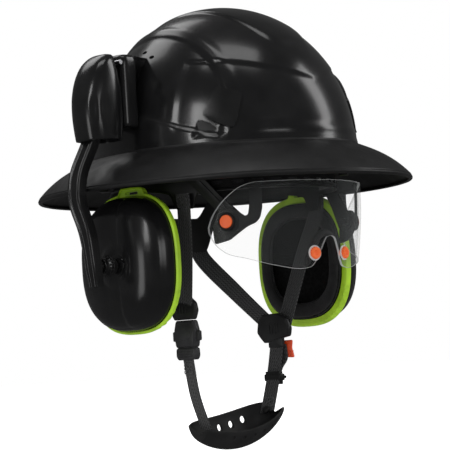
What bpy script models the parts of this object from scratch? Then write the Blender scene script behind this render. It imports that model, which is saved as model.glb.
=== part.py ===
"""Full-brim forestry helmet with ear muffs, a clear face visor and a four-point chin strap.

The helmet stands in metres with +Z up. The origin is the centre of the headband at the height of
the brim's edge. -Y is the wearer's front, -X the wearer's right and +X the wearer's left. The
driving sizes below are in millimetres, and every mesh is written in metres.
"""
import math

import bmesh
import bpy
from mathutils import Matrix, Vector

MM = 0.001
GAP = 0.35          # air left between touching pieces
RIGHT = -1          # the wearer's right, at -X
LEFT = 1            # the wearer's left, at +X
SIDES = ((RIGHT, "right"), (LEFT, "left"))

# shell
DOME_X = 102.6      # half width of the dome where it meets the brim
DOME_Y = 119.0      # half length of the dome where it meets the brim
DOME_BASE = 31.5    # height of that line above the brim's edge
DOME_HEIGHT = 120.0
BRIM_X = 144.0      # half width of the brim
BRIM_Y = 162.0      # half length of the brim
BRIM_DROP = 28.0
WALL = 2.8
SHELL_STEPS = 40

# headband and suspension
BAND_X = 78.0       # half width inside the headband
BAND_Y = 99.0       # half length inside the headband
BAND_WALL = 2.0
BAND_LOW = -16.0       # where the front webbing is sewn on
BAND_FRONT = -4.0      # lower edge across the forehead
BAND_SIDE = 1.5        # lower edge from the ears back
BAND_HIGH = 16.0
CROWN_Z = 110.0     # underside of the crown straps' hub

# ear muffs, measured at the wearer's side
CUP_RIM_X = 100.0   # where the cup meets its green rim
CUP_Y = 6.5
CUP_Z = -56.0
CUP_HALF_Y = 49.0
CUP_HALF_Z = 53.0
CUP_POWER = 2.6     # squareness of the cup's outline
CUP_DEPTH = 24.0
CUP_WALL = 2.4
CUSHION = 5.0
PIVOT_X = 127.5      # ball that the cup turns and tilts on
PIVOT_Y = 0.5
PIVOT_Z = -58.0
HOOD_X = 133.0
HOOD_HALF = 17.0
HINGE_X = 117.6      # hinge that lets the hood and arm swing outwards
HINGE_Z = 101.0
SWIVEL_Z = 72.0      # axis that the whole muff swivels about

# visor
LENS_X = 79.0       # half width of the lens in plan
LENS_BACK = -55.0   # centre of the lens's plan curve
LENS_Y = 63.0       # how far the lens stands in front of that centre
LENS_WALL = 2.0
BUTTON_X = 71.6        # origin of the button, inside the lens
BUTTON_HEAD = 6.2      # from that origin out to the underside of its head
BUTTON_Y = -74.5
BUTTON_Z = -29.5
VISOR_PIVOT = (-28.0, 28.0)
VISOR_ARM_X = 83.2     # inner face of the visor arm at its pivot
VISOR_ARM_SHIFT = 21.5  # how far the arm leans in on its way to the button
VISOR_ARM_WALL = 2.2

# chin strap
STRAP = 1.6         # webbing thickness
STRAP_WIDTH = 18.0
SLIDER_X = 55.0
SLIDER_Z = -112.0
BUCKLE_Y = -4.0
CHIN_Y = -1.5
CHIN_Z = -194.0
CHIN_TILT = 8.5     # the cup hangs lower at the wearer's right, in degrees


# ---------------------------------------------------------------- helpers

def clear_scene():
    for item in list(bpy.data.objects):
        bpy.data.objects.remove(item, do_unlink=True)


def material(name, colour, roughness, metallic=0.0, alpha=1.0):
    found = bpy.data.materials.get(name)
    if found:
        return found
    made = bpy.data.materials.new(name)
    made.use_nodes = True
    shader = made.node_tree.nodes["Principled BSDF"]
    shader.inputs["Base Color"].default_value = (*colour, 1.0)
    shader.inputs["Roughness"].default_value = roughness
    shader.inputs["Metallic"].default_value = metallic
    shader.inputs["Alpha"].default_value = alpha
    return made


def gloss_black():
    return material("gloss_black", (0.012, 0.012, 0.013), 0.15)


def satin_black():
    return material("satin_black", (0.02, 0.02, 0.021), 0.45)


def webbing():
    return material("webbing", (0.016, 0.016, 0.017), 0.8)


def padding():
    return material("padding", (0.02, 0.02, 0.022), 0.7)


def lime():
    return material("lime", (0.38, 0.62, 0.03), 0.35)


def orange():
    return material("orange", (0.95, 0.15, 0.02), 0.4)


def lock_red():
    return material("lock_red", (0.8, 0.06, 0.01), 0.4)


def buckle_grey():
    return material("buckle_grey", (0.03, 0.03, 0.032), 0.5)


def clear_lens():
    return material("clear_lens", (0.95, 0.97, 0.97), 0.03, alpha=0.3)


def foam():
    return material("foam", (0.015, 0.015, 0.016), 0.95)


def steel():
    return material("steel", (0.6, 0.6, 0.62), 0.3, metallic=1.0)


def add(name, mesh_builder, paint, origin=(0, 0, 0), smooth=35):
    """An object from a bmesh in millimetres, with its own origin in millimetres."""
    bmesh.ops.recalc_face_normals(mesh_builder, faces=mesh_builder.faces)
    bmesh.ops.translate(mesh_builder, verts=mesh_builder.verts, vec=-Vector(origin))
    bmesh.ops.scale(mesh_builder, verts=mesh_builder.verts, vec=(MM, MM, MM))
    mesh = bpy.data.meshes.new(name)
    mesh_builder.to_mesh(mesh)
    mesh_builder.free()
    mesh.materials.append(paint)
    mesh.shade_smooth()
    mesh.set_sharp_from_angle(angle=math.radians(smooth))
    item = bpy.data.objects.new(name, mesh)
    item.location = Vector(origin) * MM
    bpy.context.collection.objects.link(item)
    return item


def loft(rings, ends="fan", closed=False):
    """A closed skin through rings of equal length; ends are fans, flat faces, or none."""
    built = bmesh.new()
    rows = [[built.verts.new(point) for point in ring] for ring in rings]
    count = len(rings[0])
    pairs = list(zip(rows, rows[1:]))
    if closed:
        pairs.append((rows[-1], rows[0]))
    for first, second in pairs:
        for i in range(count):
            j = (i + 1) % count
            built.faces.new((first[i], first[j], second[j], second[i]))
    if closed:
        return built
    for row in (rows[0], rows[-1]):
        if ends == "flat":
            built.faces.new(row)
            continue
        middle = sum((v.co for v in row), Vector()) / count
        hub = built.verts.new(middle)
        for i in range(count):
            built.faces.new((row[i], row[(i + 1) % count], hub))
    return built


def block(low, high, bevel=0.0):
    """A box between two corners, with bevelled edges if asked."""
    built = bmesh.new()
    bmesh.ops.create_cube(built, size=1.0)
    size = Vector(high) - Vector(low)
    bmesh.ops.scale(built, verts=built.verts, vec=size)
    bmesh.ops.translate(built, verts=built.verts, vec=(Vector(low) + Vector(high)) / 2)
    if bevel:
        bmesh.ops.bevel(built, geom=built.edges[:], offset=bevel, segments=1, affect="EDGES")
    return built


def turned(profile, centre, axis, steps=20):
    """A solid of revolution: (radius, distance along the axis) pairs about a centre."""
    turn = Vector((0, 0, 1)).rotation_difference(Vector(axis)).to_matrix()
    rings = []
    for radius, along in profile:
        ring = []
        for i in range(steps):
            angle = math.tau * i / steps
            flat = Vector((radius * math.cos(angle), radius * math.sin(angle), along))
            ring.append(Vector(centre) + turn @ flat)
        rings.append(ring)
    return loft(rings, "flat")


def combine(target, tool, operation):
    """A Boolean modifier whose tool is left out of the build."""
    cut = target.modifiers.new(tool.name, "BOOLEAN")
    cut.operation = operation
    cut.solver = "EXACT"
    cut.object = tool
    tool.hide_render = True
    tool.display_type = "WIRE"


def cutter(name, mesh_builder):
    return add(name, mesh_builder, satin_black())


def ellipse(half_x, half_y, z, steps, centre_y=0.0):
    ring = []
    for i in range(steps):
        angle = math.tau * i / steps
        ring.append((half_x * math.cos(angle), centre_y + half_y * math.sin(angle), z))
    return ring


def squircle(x, centre, half_y, half_z, power, steps):
    """A rounded-square ring in a plane of constant x."""
    ring = []
    for i in range(steps):
        angle = math.tau * i / steps
        c, s = math.cos(angle), math.sin(angle)
        y = centre[0] + half_y * math.copysign(abs(c) ** (2 / power), c)
        z = centre[1] + half_z * math.copysign(abs(s) ** (2 / power), s)
        ring.append((x, y, z))
    return ring


def ribbon(path, width_ways, width, thickness):
    """Webbing along a path; each point gives the direction of the webbing's width."""
    points = [Vector(p) for p in path]
    rings = []
    for i, point in enumerate(points):
        ahead = points[min(i + 1, len(points) - 1)] - points[max(i - 1, 0)]
        across = Vector(width_ways[i])
        across -= ahead * across.dot(ahead) / ahead.length_squared
        across.normalize()
        out = ahead.cross(across).normalized()
        a, b = across * width / 2, out * thickness / 2
        rings.append([point - a - b, point + a - b, point + a + b, point - a + b])
    built = loft(rings, "flat")
    bmesh.ops.triangulate(built, faces=built.faces[:])
    return built


def smooth_path(points, steps):
    """A Catmull-Rom curve through a few points."""
    p = [Vector(q) for q in points]
    p = [2 * p[0] - p[1]] + p + [2 * p[-1] - p[-2]]
    curve = []
    for i in range(1, len(p) - 2):
        for k in range(steps):
            t = k / steps
            a = -p[i - 1] + 3 * p[i] - 3 * p[i + 1] + p[i + 2]
            b = 2 * p[i - 1] - 5 * p[i] + 4 * p[i + 1] - p[i + 2]
            curve.append(p[i] + ((a * t + b) * t + (p[i + 1] - p[i - 1])) * t / 2)
    curve.append(p[-2])
    return curve


def blend(points, value):
    """Straight-line reading of y at x from a few (x, y) points."""
    for (x0, y0), (x1, y1) in zip(points, points[1:]):
        if value <= x1:
            return y0 + (y1 - y0) * max(0.0, (value - x0) / (x1 - x0))
    return points[-1][1]


# ---------------------------------------------------------------- shell

def dome_half_x(z, shrink=0.0):
    lift = min(1.0, max(0.0, (z - DOME_BASE) / (DOME_HEIGHT - shrink)))
    return (DOME_X - shrink) * math.sqrt(1 - lift * lift)


def dome_half_y(z, shrink=0.0):
    lift = min(1.0, max(0.0, (z - DOME_BASE) / (DOME_HEIGHT - shrink)))
    return (DOME_Y - shrink) * math.sqrt(1 - lift * lift)


def dome_point(z, angle, out=0.0):
    """A point on the dome, or out from it, at an angle counted from +X towards +Y."""
    return Vector(((dome_half_x(z) + out) * math.cos(angle),
                   (dome_half_y(z) + out) * math.sin(angle), z))


def brim_ring(share, lower):
    """The brim's ring at a share of the way from the dome to the edge, above or below."""
    half_x = DOME_X + share * (BRIM_X - DOME_X)
    half_y = DOME_Y + share * (BRIM_Y - DOME_Y)
    z = DOME_BASE - BRIM_DROP * (0.62 * share + 0.38 * share ** 3)
    return ellipse(half_x, half_y, z - lower, SHELL_STEPS)


def shell():
    rings = []
    for degrees in (86, 72, 58, 44, 31, 19, 8):
        lift = math.radians(degrees)
        z = DOME_BASE + (DOME_HEIGHT - WALL) * math.sin(lift)
        half_x = (DOME_X - WALL) * math.cos(lift)
        half_y = (DOME_Y - WALL) * math.cos(lift)
        rings.append(ellipse(half_x, half_y, z, SHELL_STEPS))
    for share in (0.0, 0.25, 0.5, 0.75, 0.96):
        rings.append(brim_ring(share, WALL))
    rings.append(ellipse(BRIM_X - 0.8, BRIM_Y - 0.8, 0.0, SHELL_STEPS))
    rings.append(ellipse(BRIM_X, BRIM_Y, 1.6, SHELL_STEPS))
    for share in (0.97, 0.75, 0.5, 0.25, 0.04):
        rings.append(brim_ring(share, 0.0))
    for degrees in (3, 12, 23, 35, 48, 61, 74, 87):
        lift = math.radians(degrees)
        z = DOME_BASE + DOME_HEIGHT * math.sin(lift)
        half_x, half_y = DOME_X * math.cos(lift), DOME_Y * math.cos(lift)
        rings.append(ellipse(half_x, half_y, z, SHELL_STEPS))
    body = add("shell", loft(rings), gloss_black())
    for side, word in SIDES:
        slot = block((side * 103 - 14, -10, 60), (side * 103 + 14, 10, 67))
        combine(body, cutter("cut_slot_" + word, slot), "DIFFERENCE")
        for number, (height, angle) in enumerate(((110.0, -2.0), (115.6, 6.4))):
            at = math.radians(angle if side == LEFT else 180 - angle)
            spot = dome_point(height, at)
            drill = turned([(2.6, -12), (2.6, 12)], spot, (side, 0, 0.9), 12)
            combine(body, cutter("cut_vent_%s_%d" % (word, number), drill), "DIFFERENCE")


def dome_plate(name, side, angle, half_angle, low, high, paint):
    """A curved plate lying on the dome."""
    rings = []
    for share in (-1, -0.5, 0, 0.5, 1):
        turn = math.radians(angle + share * half_angle)
        turn = turn if side == LEFT else math.pi - turn
        levels = [low + (high - low) * k / 3 for k in range(4)]
        outer = [dome_point(z, turn, 3.0) for z in levels]
        inner = [dome_point(z, turn, 0.9) for z in reversed(levels)]
        rings.append(outer + inner)
    add(name, loft(rings, "flat"), paint)


# ---------------------------------------------------------------- suspension

def band(name, start, stop, steps, half_x, half_y, wall, low, high, paint, origin=(0, 0, 0)):
    """A standing strip that follows an ellipse; low and high are heights or functions."""
    rings = []
    for i in range(steps + 1):
        degrees = start + (stop - start) * i / steps
        c, s = math.cos(math.radians(degrees)), math.sin(math.radians(degrees))
        z0 = low(degrees) if callable(low) else low
        z1 = high(degrees) if callable(high) else high
        inner = Vector((half_x * c, half_y * s, 0))
        outer = Vector(((half_x + wall) * c, (half_y + wall) * s, 0))
        up0, up1 = Vector((0, 0, z0)), Vector((0, 0, z1))
        rings.append([inner + up0, outer + up0, outer + up1, inner + up1])
    return add(name, loft(rings, "flat"), paint, origin)


def crown_straps():
    """Six webbing arms from a hexagonal hub down to the headband's upper edge."""
    built = bmesh.new()
    width, thick = 18.0, 1.6
    foot_z = BAND_HIGH + 1.0
    rise = CROWN_Z - foot_z
    upper, lower = [], []
    for k in range(6):
        angle = math.radians(60 * k + 30)
        spot = Vector((width * math.cos(angle), width * math.sin(angle), CROWN_Z))
        lower.append(built.verts.new(spot))
        upper.append(built.verts.new(spot + Vector((0, 0, thick))))
    built.faces.new(upper)
    built.faces.new(list(reversed(lower)))
    for k in range(6):
        j = (k + 1) % 6
        angle = math.radians(60 * (k + 1))
        across = Vector((-math.sin(angle), math.cos(angle), 0)) * width / 2
        previous = [lower[k], lower[j], upper[j], upper[k]]
        reach = Vector((BAND_X + 1.0, BAND_Y + 1.0, 0))
        for share in (0.2, 0.4, 0.6, 0.8, 0.92, 1.0):
            turn = share * math.pi / 2
            fold = math.sin(turn)
            flat = Vector((math.cos(angle) * reach.x, math.sin(angle) * reach.y, 0))
            start = 15.6 / flat.length
            middle = flat * (start + (1 - start) * fold)
            middle.z = foot_z + rise * math.cos(turn)
            slope = Vector((flat.x * math.sin(turn), flat.y * math.sin(turn), rise * math.cos(turn)))
            out = Vector((slope.x / flat.length, slope.y / flat.length, slope.z / rise)).normalized()
            ring = [middle - across, middle + across,
                    middle + across + out * thick, middle - across + out * thick]
            current = [built.verts.new(point) for point in ring]
            for i in range(4):
                n = (i + 1) % 4
                built.faces.new((previous[i], previous[n], current[n], current[i]))
            previous = current
        built.faces.new(previous)
    add("crown_straps", built, webbing())


def cradle_low(degrees):
    return blend([(36, 1.5), (44, -20), (50, -42), (75, -40), (90, -36), (105, -40), (130, -42),
                  (136, -20), (144, 1.5)], degrees)


def cradle_high(degrees):
    return blend([(38, 7.4), (46, 2), (54, -13), (90, -10), (126, -13), (134, 2), (142, 7.4)],
                 degrees)


def headband_low(degrees):
    """The lower edge dips into a lobe on each side, ahead of the ears."""
    return blend([(171, BAND_SIDE), (180, BAND_LOW), (202, BAND_LOW), (207, BAND_FRONT),
                  (333, BAND_FRONT), (338, BAND_LOW), (360, BAND_LOW), (369, BAND_SIDE)], degrees)


def suspension():
    band("headband", 135, 405, 60, BAND_X, BAND_Y, BAND_WALL, headband_low, BAND_HIGH, satin_black())
    band("sweatband", 205, 335, 22, BAND_X - 3.4, BAND_Y - 3.4, 3.0, BAND_FRONT + 1, BAND_HIGH - 3,
         padding())
    crown_straps()
    pad = turned([(22, 0), (24, 1.5), (23, 2.5), (14, 5)], (0, 0, CROWN_Z - 5.4), (0, 0, 1), 24)
    add("crown_pad", pad, padding())
    for side, word in SIDES:
        for front, end in ((-1, "front"), (1, "rear")):
            angle = math.radians(48 if front > 0 else -48)
            x = side * (BAND_X + BAND_WALL + 7.5) * math.cos(angle)
            y = (BAND_Y + BAND_WALL + 7.5) * math.sin(angle)
            lug = block((x - 6, y - 6, 8), (x + 6, y + 6, 26), 1.5)
            turn = Matrix.Rotation(math.atan2(y, x), 3, "Z")
            bmesh.ops.rotate(lug, verts=lug.verts, cent=(x, y, 17), matrix=turn)
            add("suspension_lug_%s_%s" % (end, word), lug, satin_black())


def nape():
    origin = (0, BAND_Y, -24)
    out = BAND_WALL + 1.0
    band("nape_cradle", 22, 158, 34, BAND_X + out, BAND_Y + out, 2.2, cradle_low, cradle_high,
         satin_black(), origin)
    band("nape_pad", 68, 112, 12, BAND_X + out - 4.4, BAND_Y + out - 4.4, 4.0, -34, -12, padding(),
         origin)
    back = BAND_Y + out + 2.2
    house = block((-22, back + GAP, -36), (22, back + 10, -12), 2.5)
    add("ratchet_housing", house, satin_black(), origin)
    centre = (0, back + 10 + GAP, -24)
    knob = turned([(11, 0), (15, 1.5), (15, 9), (13, 11)], centre, (0, 1, 0), 24)
    add("ratchet_knob", knob, satin_black(), centre)


# ---------------------------------------------------------------- ear muffs

def muff_adapter(side, word):
    rings = []
    for z in (50, 60, 72, 84, 96, 106, 108):
        near = dome_half_x(z) * math.cos(math.asin(4.0 / 110)) + 0.8
        far = 115.2 if z < 107 else 112.5
        front, back = (-11, 11) if z < 107 else (-8, 8)
        ring = [(side * near, back, z), (side * near, front + 3, z), (side * (near + 4), front, z),
                (side * (far - 4), front, z), (side * far, front + 4, z), (side * far, back, z)]
        rings.append(ring)
    body = add("muff_adapter_" + word, loft(rings, "flat"), gloss_black())
    tongue = block((side * 100 - 5, -9, 61), (side * 100 + 5, 9, 66))
    combine(body, cutter("join_tongue_" + word, tongue), "UNION")


def muff_hood(side, word):
    """A domed hood, open below, that the arm hangs in."""
    origin = (side * HINGE_X, 0, HINGE_Z)

    def level(z, half, shift=0.0):
        ring = []
        for i in range(20):
            angle = math.tau * i / 20
            c, s = math.cos(angle), math.sin(angle)
            x = HOOD_X + half * math.copysign(abs(c) ** 0.72, c)
            y = half * math.copysign(abs(s) ** 0.72, s) + shift
            ring.append((side * x, y, z))
        return ring

    rings = [level(96, 6), level(90, 10.5), level(80, 13.4), level(60, 14.8), level(41, 14.6)]
    rings += [level(40, 15.8), level(42, 16.4), level(56, HOOD_HALF), level(70, HOOD_HALF),
              level(82, 16.0), level(92, 13.2, -1), level(100, 9.0, -2), level(104, 4.5, -2)]
    add("muff_hood_" + word, loft(rings), gloss_black(), origin)


def arm_route(side):
    route = [(137.5, 2.5, 68), (137.8, 3, 54), (139.8, 4, 40), (148.5, 8.5, 18), (151.3, 10, 4),
             (151.3, 9.5, -10), (149.3, 2.2, -35), (146.7, -0.6, -74)]
    return [Vector((side * x, y, z)) for x, y, z in route]


def muff_arm(side, word):
    """A channel, open towards the cup, with a closed outer face."""
    route = arm_route(side)
    rings = []
    for i, point in enumerate(route):
        ahead = (route[min(i + 1, len(route) - 1)] - route[max(i - 1, 0)]).normalized()
        out = Vector((side, 0, 0))
        out = (out - ahead * out.dot(ahead)).normalized()
        wide = ahead.cross(out).normalized()
        half, deep, wall = 6.0, 4.5, 2.0
        shape = [(-half, -deep), (-half, deep - 1.5), (-half + 1.5, deep), (half - 1.5, deep),
                 (half, deep - 1.5), (half, -deep), (half - wall, -deep), (half - wall, deep - wall),
                 (-half + wall, deep - wall), (-half + wall, -deep)]
        rings.append([point + wide * a + out * b for a, b in shape])
    add("muff_arm_" + word, loft(rings, "flat"), satin_black(), (side * HINGE_X, 0, HINGE_Z))


def hinge_pin(side, word):
    """The steel pin along the hood's upper inner edge; it swivels about the adapter's middle."""
    pin = turned([(1.8, -12), (1.8, 12)], (side * HINGE_X, 0, HINGE_Z), (0, 1, 0), 12)
    add("muff_hinge_pin_" + word, pin, steel(), (side * HINGE_X, 0, SWIVEL_Z))


def arm_slider(side, word):
    """A knob whose shoe is held in the arm's channel."""
    centre = Vector((side * 130.3, PIVOT_Y, PIVOT_Z))
    profile = [(8.0, 0), (8.5, 1.0), (8.5, 4.5), (6.0, 5.5), (6.0, 8.6), (3.4, 9.2), (3.4, 16.2)]
    knob = turned(profile, centre, (side, 0.02, 0), 20)
    add("muff_slider_" + word, knob, satin_black(), centre)


def pivot_ball(side, word):
    centre = Vector((side * PIVOT_X, PIVOT_Y, PIVOT_Z))
    profile = [(5.0, -1.9), (6.0, -0.9), (6.0, 0.5), (4.0, 1.6)]
    add("cup_pivot_" + word, turned(profile, centre, (side, 0, 0), 20), satin_black(), centre)


def cup_ring(side, x, grow, steps=32):
    centre = (CUP_Y, CUP_Z)
    if grow < 0.8:
        share = (0.8 - grow) / 0.8
        centre = (CUP_Y + (PIVOT_Y - CUP_Y) * share, CUP_Z + (PIVOT_Z - CUP_Z) * share)
    return squircle(side * x, centre, CUP_HALF_Y * grow, CUP_HALF_Z * grow, CUP_POWER, steps)


def ear_cup(side, word):
    pivot = (side * PIVOT_X, PIVOT_Y, PIVOT_Z)
    outer = [(0, 1.0), (7, 0.985), (14, 0.92), (19, 0.8), (22.5, 0.6), (24, 0.34), (24.3, 0.15)]
    inner = [(22.0, 0.13), (21.5, 0.32), (20.2, 0.55), (17, 0.73), (12.5, 0.85), (6, 0.93),
             (0, 0.95)]
    rings = [cup_ring(side, CUP_RIM_X + x, grow) for x, grow in inner + outer]
    add("cup_shell_" + word, loft(rings), gloss_black(), pivot)

    def rim_ring(x, grow):
        ring = []
        for px, y, z in cup_ring(side, x, grow, 40):
            near_top = max(0.0, 1 - ((y - CUP_Y + 3) / 15.0) ** 4)
            lift = 5.0 * near_top if z > CUP_Z and grow > 0.99 else 0.0
            ring.append((px, y, z + lift))
        return ring

    low, high = CUP_RIM_X - 4.6, CUP_RIM_X - GAP
    rings = [rim_ring(low, 0.93), rim_ring(low, 1.025), rim_ring(high, 1.04), rim_ring(high, 0.93)]
    rim = add("cup_rim_" + word, loft(rings, closed=True), lime(), pivot)
    top = CUP_Z + CUP_HALF_Z * 1.01
    slot = block((side * 98 - 8, CUP_Y - 10, top + 0.5), (side * 98 + 8, CUP_Y + 4, top + 3.0))
    combine(rim, cutter("cut_tab_" + word, slot), "DIFFERENCE")

    face = CUP_RIM_X - 4.6 - GAP
    section = [(0, 0.90), (-2.2, 0.92), (-4.2, 0.89), (-CUSHION, 0.83), (-CUSHION, 0.77),
               (-4.2, 0.70), (-2.2, 0.66), (0, 0.68)]
    rings = [squircle(side * (face + x), (CUP_Y, CUP_Z), CUP_HALF_Y * grow, CUP_HALF_Z * grow,
                      CUP_POWER, 32) for x, grow in section]
    add("cup_cushion_" + word, loft(rings, closed=True), padding(), pivot)

    liner = [(CUP_RIM_X - 1.0, 0.86), (CUP_RIM_X + 6.0, 0.86)]
    rings = [squircle(side * x, (CUP_Y, CUP_Z), CUP_HALF_Y * grow, CUP_HALF_Z * grow, CUP_POWER, 24)
             for x, grow in liner]
    add("cup_liner_" + word, loft(rings, "flat"), foam(), pivot)


# ---------------------------------------------------------------- visor

def lens_point(degrees, z, inward=0.0):
    """A point of the lens's outer face; 0 degrees is the front and +90 the wearer's left."""
    lean = 1 - 0.10 * (min(0.0, z) / 65.0) ** 2
    turn = math.radians(degrees)
    half_x = (LENS_X - inward) * (0.35 + 0.65 * lean)
    half_y = (LENS_Y - inward) * lean
    return Vector((half_x * math.sin(turn), LENS_BACK - half_y * math.cos(turn), z))


def lens_sheet(columns, low, high, inward, wall, rows=3):
    """A curved sheet behind the lens's outer face, between two edge curves."""
    rings = []
    for degrees in columns:
        levels = [low(degrees) + (high(degrees) - low(degrees)) * k / rows for k in range(rows + 1)]
        outer = [lens_point(degrees, z, inward) for z in levels]
        inner = [lens_point(degrees, z, inward + wall) for z in reversed(levels)]
        rings.append(outer + inner)
    return loft(rings, "flat")


def lens_low(degrees):
    return blend([(0, -43.5), (3, -44.5), (7, -53), (11, -63), (15, -67.5), (22, -68.5), (40, -65),
                  (60, -58), (72, -55), (80, -52), (88, -42)], abs(degrees))


def lens_high(degrees):
    return blend([(0, 0), (50, -0.5), (60, -3), (70, -10), (80, -20), (88, -32)], abs(degrees))


def bracket_low(degrees):
    return blend([(47, -20), (49, -28), (52, -31.5), (58, -34), (64, -38), (72, -43.5), (86, -47)],
                 abs(degrees))


def bracket_high(degrees):
    return blend([(55, 2), (56, -23), (60, -25), (64, -23), (68, -19.5), (76, -19.5), (86, -30)],
                 abs(degrees))


def visor():
    hinge = (0, BUTTON_Y, BUTTON_Z)
    columns = [-88, -84, -80, -76, -72, -66, -60, -50, -40, -30, -22, -15, -11, -7, -3, 0]
    columns += [-d for d in reversed(columns[:-1])]
    lens = add("visor_lens", lens_sheet(columns, lens_low, lens_high, 0.0, LENS_WALL),
               clear_lens(), hinge)
    for side, word in SIDES:
        spot = lens_point(side * 13, -57.0)
        drill = turned([(2.6, -8), (2.6, 8)], spot, (side * 0.2, -1, 0), 12)
        combine(lens, cutter("cut_nose_" + word, drill), "DIFFERENCE")
        hole = turned([(3.4, -14), (3.4, 14)], (side * 74, BUTTON_Y, BUTTON_Z), (1, 0, 0), 16)
        cut = cutter("cut_button_" + word, hole)
        combine(lens, cut, "DIFFERENCE")
        columns = [side * d for d in (47, 51, 55, 56, 60, 64, 68, 72, 76, 81, 86)]
        sheet = lens_sheet(columns, bracket_low, bracket_high, LENS_WALL + 1.0, 1.8)
        bracket = add("visor_bracket_" + word, sheet, satin_black(), hinge)
        combine(bracket, cut, "DIFFERENCE")
        button_parts(side, word)
        visor_arm(side, word)
        nose_clip(side, word)
    nose_pad()


def button_parts(side, word):
    """An orange push button whose stud passes through lens, bracket and arm."""
    centre = (side * BUTTON_X, BUTTON_Y, BUTTON_Z)
    top = BUTTON_HEAD + 2.2
    profile = [(3.0, -13.4), (3.0, BUTTON_HEAD), (5.6, BUTTON_HEAD), (5.6, top - 0.6), (5.0, top)]
    add("visor_button_" + word, turned(profile, centre, (side, 0, 0), 20), orange(), centre)


def visor_arm(side, word):
    """A flat arm between the pivot at the headband and the orange button."""
    top = Vector((0, VISOR_PIVOT[0], VISOR_PIVOT[1]))
    low = Vector((0, BUTTON_Y, BUTTON_Z))
    along = (low - top).normalized()
    wide = Vector((1, 0, 0)).cross(along)
    outline = []
    for centre, radius, start in ((top, 8.0, 90), (low, 7.8, -90)):
        for k in range(7):
            turn = math.radians(start + 30 * k)
            outline.append(centre + (along * math.cos(turn) + wide * math.sin(turn)) * radius)
    rings = []
    length = (low - top).length
    for shift in (0.0, VISOR_ARM_WALL):
        ring = []
        for point in outline:
            share = (point - top).dot(along) / length
            x = VISOR_ARM_X - VISOR_ARM_SHIFT * min(1.0, max(0.0, share)) + shift
            ring.append(Vector((side * x, point.y, point.z)))
        rings.append(ring)
    origin = (side * VISOR_ARM_X, VISOR_PIVOT[0], VISOR_PIVOT[1])
    body = add("visor_arm_" + word, loft(rings, "flat"), satin_black(), origin)
    hole = turned([(3.3, -12), (3.3, 12)], (side * 66, BUTTON_Y, BUTTON_Z), (1, 0, 0), 16)
    combine(body, cutter("cut_arm_low_" + word, hole), "DIFFERENCE")
    hole = turned([(3.3, -12), (3.3, 12)], (side * 84, *VISOR_PIVOT), (1, 0, 0), 16)
    combine(body, cutter("cut_arm_top_" + word, hole), "DIFFERENCE")
    profile = [(2.9, 0), (2.9, 5.6), (6.0, 6.0), (6.0, 12.5)]
    pin = turned(profile, (side * 80.6, *VISOR_PIVOT), (side, 0, 0), 16)
    add("visor_pivot_" + word, pin, satin_black(), (side * 80.6, *VISOR_PIVOT))


def nose_clip(side, word):
    spot = lens_point(side * 13, -57.0)
    out = Vector((side * 0.2, -1, 0)).normalized()
    profile = [(2.2, -3.6), (2.2, 0.9), (5.2, 0.9), (5.2, 2.4), (4.4, 3.0)]
    add("nose_clip_" + word, turned(profile, spot, out, 16), orange(), spot)


def nose_pad():
    """A soft arch behind the lens's nose cut-out."""
    rings = []
    arch = [(-15, -66), (-12.5, -60), (-9, -51), (-6, -44), (0, -40.5), (6, -44), (9, -51),
            (12.5, -60), (15, -66)]
    spots = [lens_point(d, z, LENS_WALL + 2.6) for d, z in arch]
    for i, spot in enumerate(spots):
        ahead = (spots[min(i + 1, len(spots) - 1)] - spots[max(i - 1, 0)]).normalized()
        back = Vector((0, 1, 0))
        wide = ahead.cross(back).normalized()
        rings.append([spot - wide * 3, spot + wide * 3, spot + wide * 2 + back * 6,
                      spot - wide * 2 + back * 6])
    add("nose_pad", loft(rings, "flat"), padding(), (0, BUTTON_Y, BUTTON_Z))


# ---------------------------------------------------------------- chin strap

def chin_cup_grid(u, v, inward):
    """A boat-shaped cup: u runs along it from right to left, v from the front rim to the back."""
    length, depth = 46.0 - inward, 13.5 - inward
    end = math.sqrt(max(0.0, 1 - (0.93 * u) ** 2))
    half = 5.0 + (14.0 - inward) * end
    turn = math.radians(-90 + 180 * v)
    x = length * u
    y = half * math.sin(turn)
    z = -depth * (0.25 + 0.75 * end) * math.cos(turn) + 9.0 * u * u
    z += (1.5 + 12.0 * v) * end * math.sin(turn) ** 2
    return Vector((x, y, z))


def chin_cup():
    origin = (0, CHIN_Y, CHIN_Z)
    lean = Matrix.Rotation(math.radians(CHIN_TILT), 3, "Y").inverted()
    columns = [-1, -0.9, -0.7, -0.45, -0.2, 0, 0.2, 0.45, 0.7, 0.9, 1]
    rows = [k / 8 for k in range(9)]
    rings = []
    for u in columns:
        outer = [chin_cup_grid(u, v, 0.0) for v in rows]
        inner = [chin_cup_grid(u, v, 2.2) for v in reversed(rows)]
        rings.append([Vector(origin) + lean @ p for p in outer + inner])
    body = add("chin_cup", loft(rings, "flat"), satin_black(), origin)
    for k, u in enumerate((-0.45, -0.15, 0.15, 0.45)):
        spot = Vector(origin) + lean @ chin_cup_grid(u, 0.86, 1.0)
        drill = turned([(2.8, -9), (2.8, 9)], spot, (0, 1, 0.25), 12)
        combine(body, cutter("cut_chin_%d" % k, drill), "DIFFERENCE")


def chin_end(side):
    """Where the lower webbing meets the inside of the chin cup."""
    lean = Matrix.Rotation(math.radians(CHIN_TILT), 3, "Y").inverted()
    return Vector((0, CHIN_Y, CHIN_Z)) + lean @ Vector((side * 36.0, 0.0, 8.5))


def webbing_strip(name, points, across, width, steps=4, origin=(0, 0, 0)):
    path = smooth_path(points, steps)
    return add(name, ribbon(path, [across] * len(path), width, STRAP), webbing(), origin)


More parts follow.
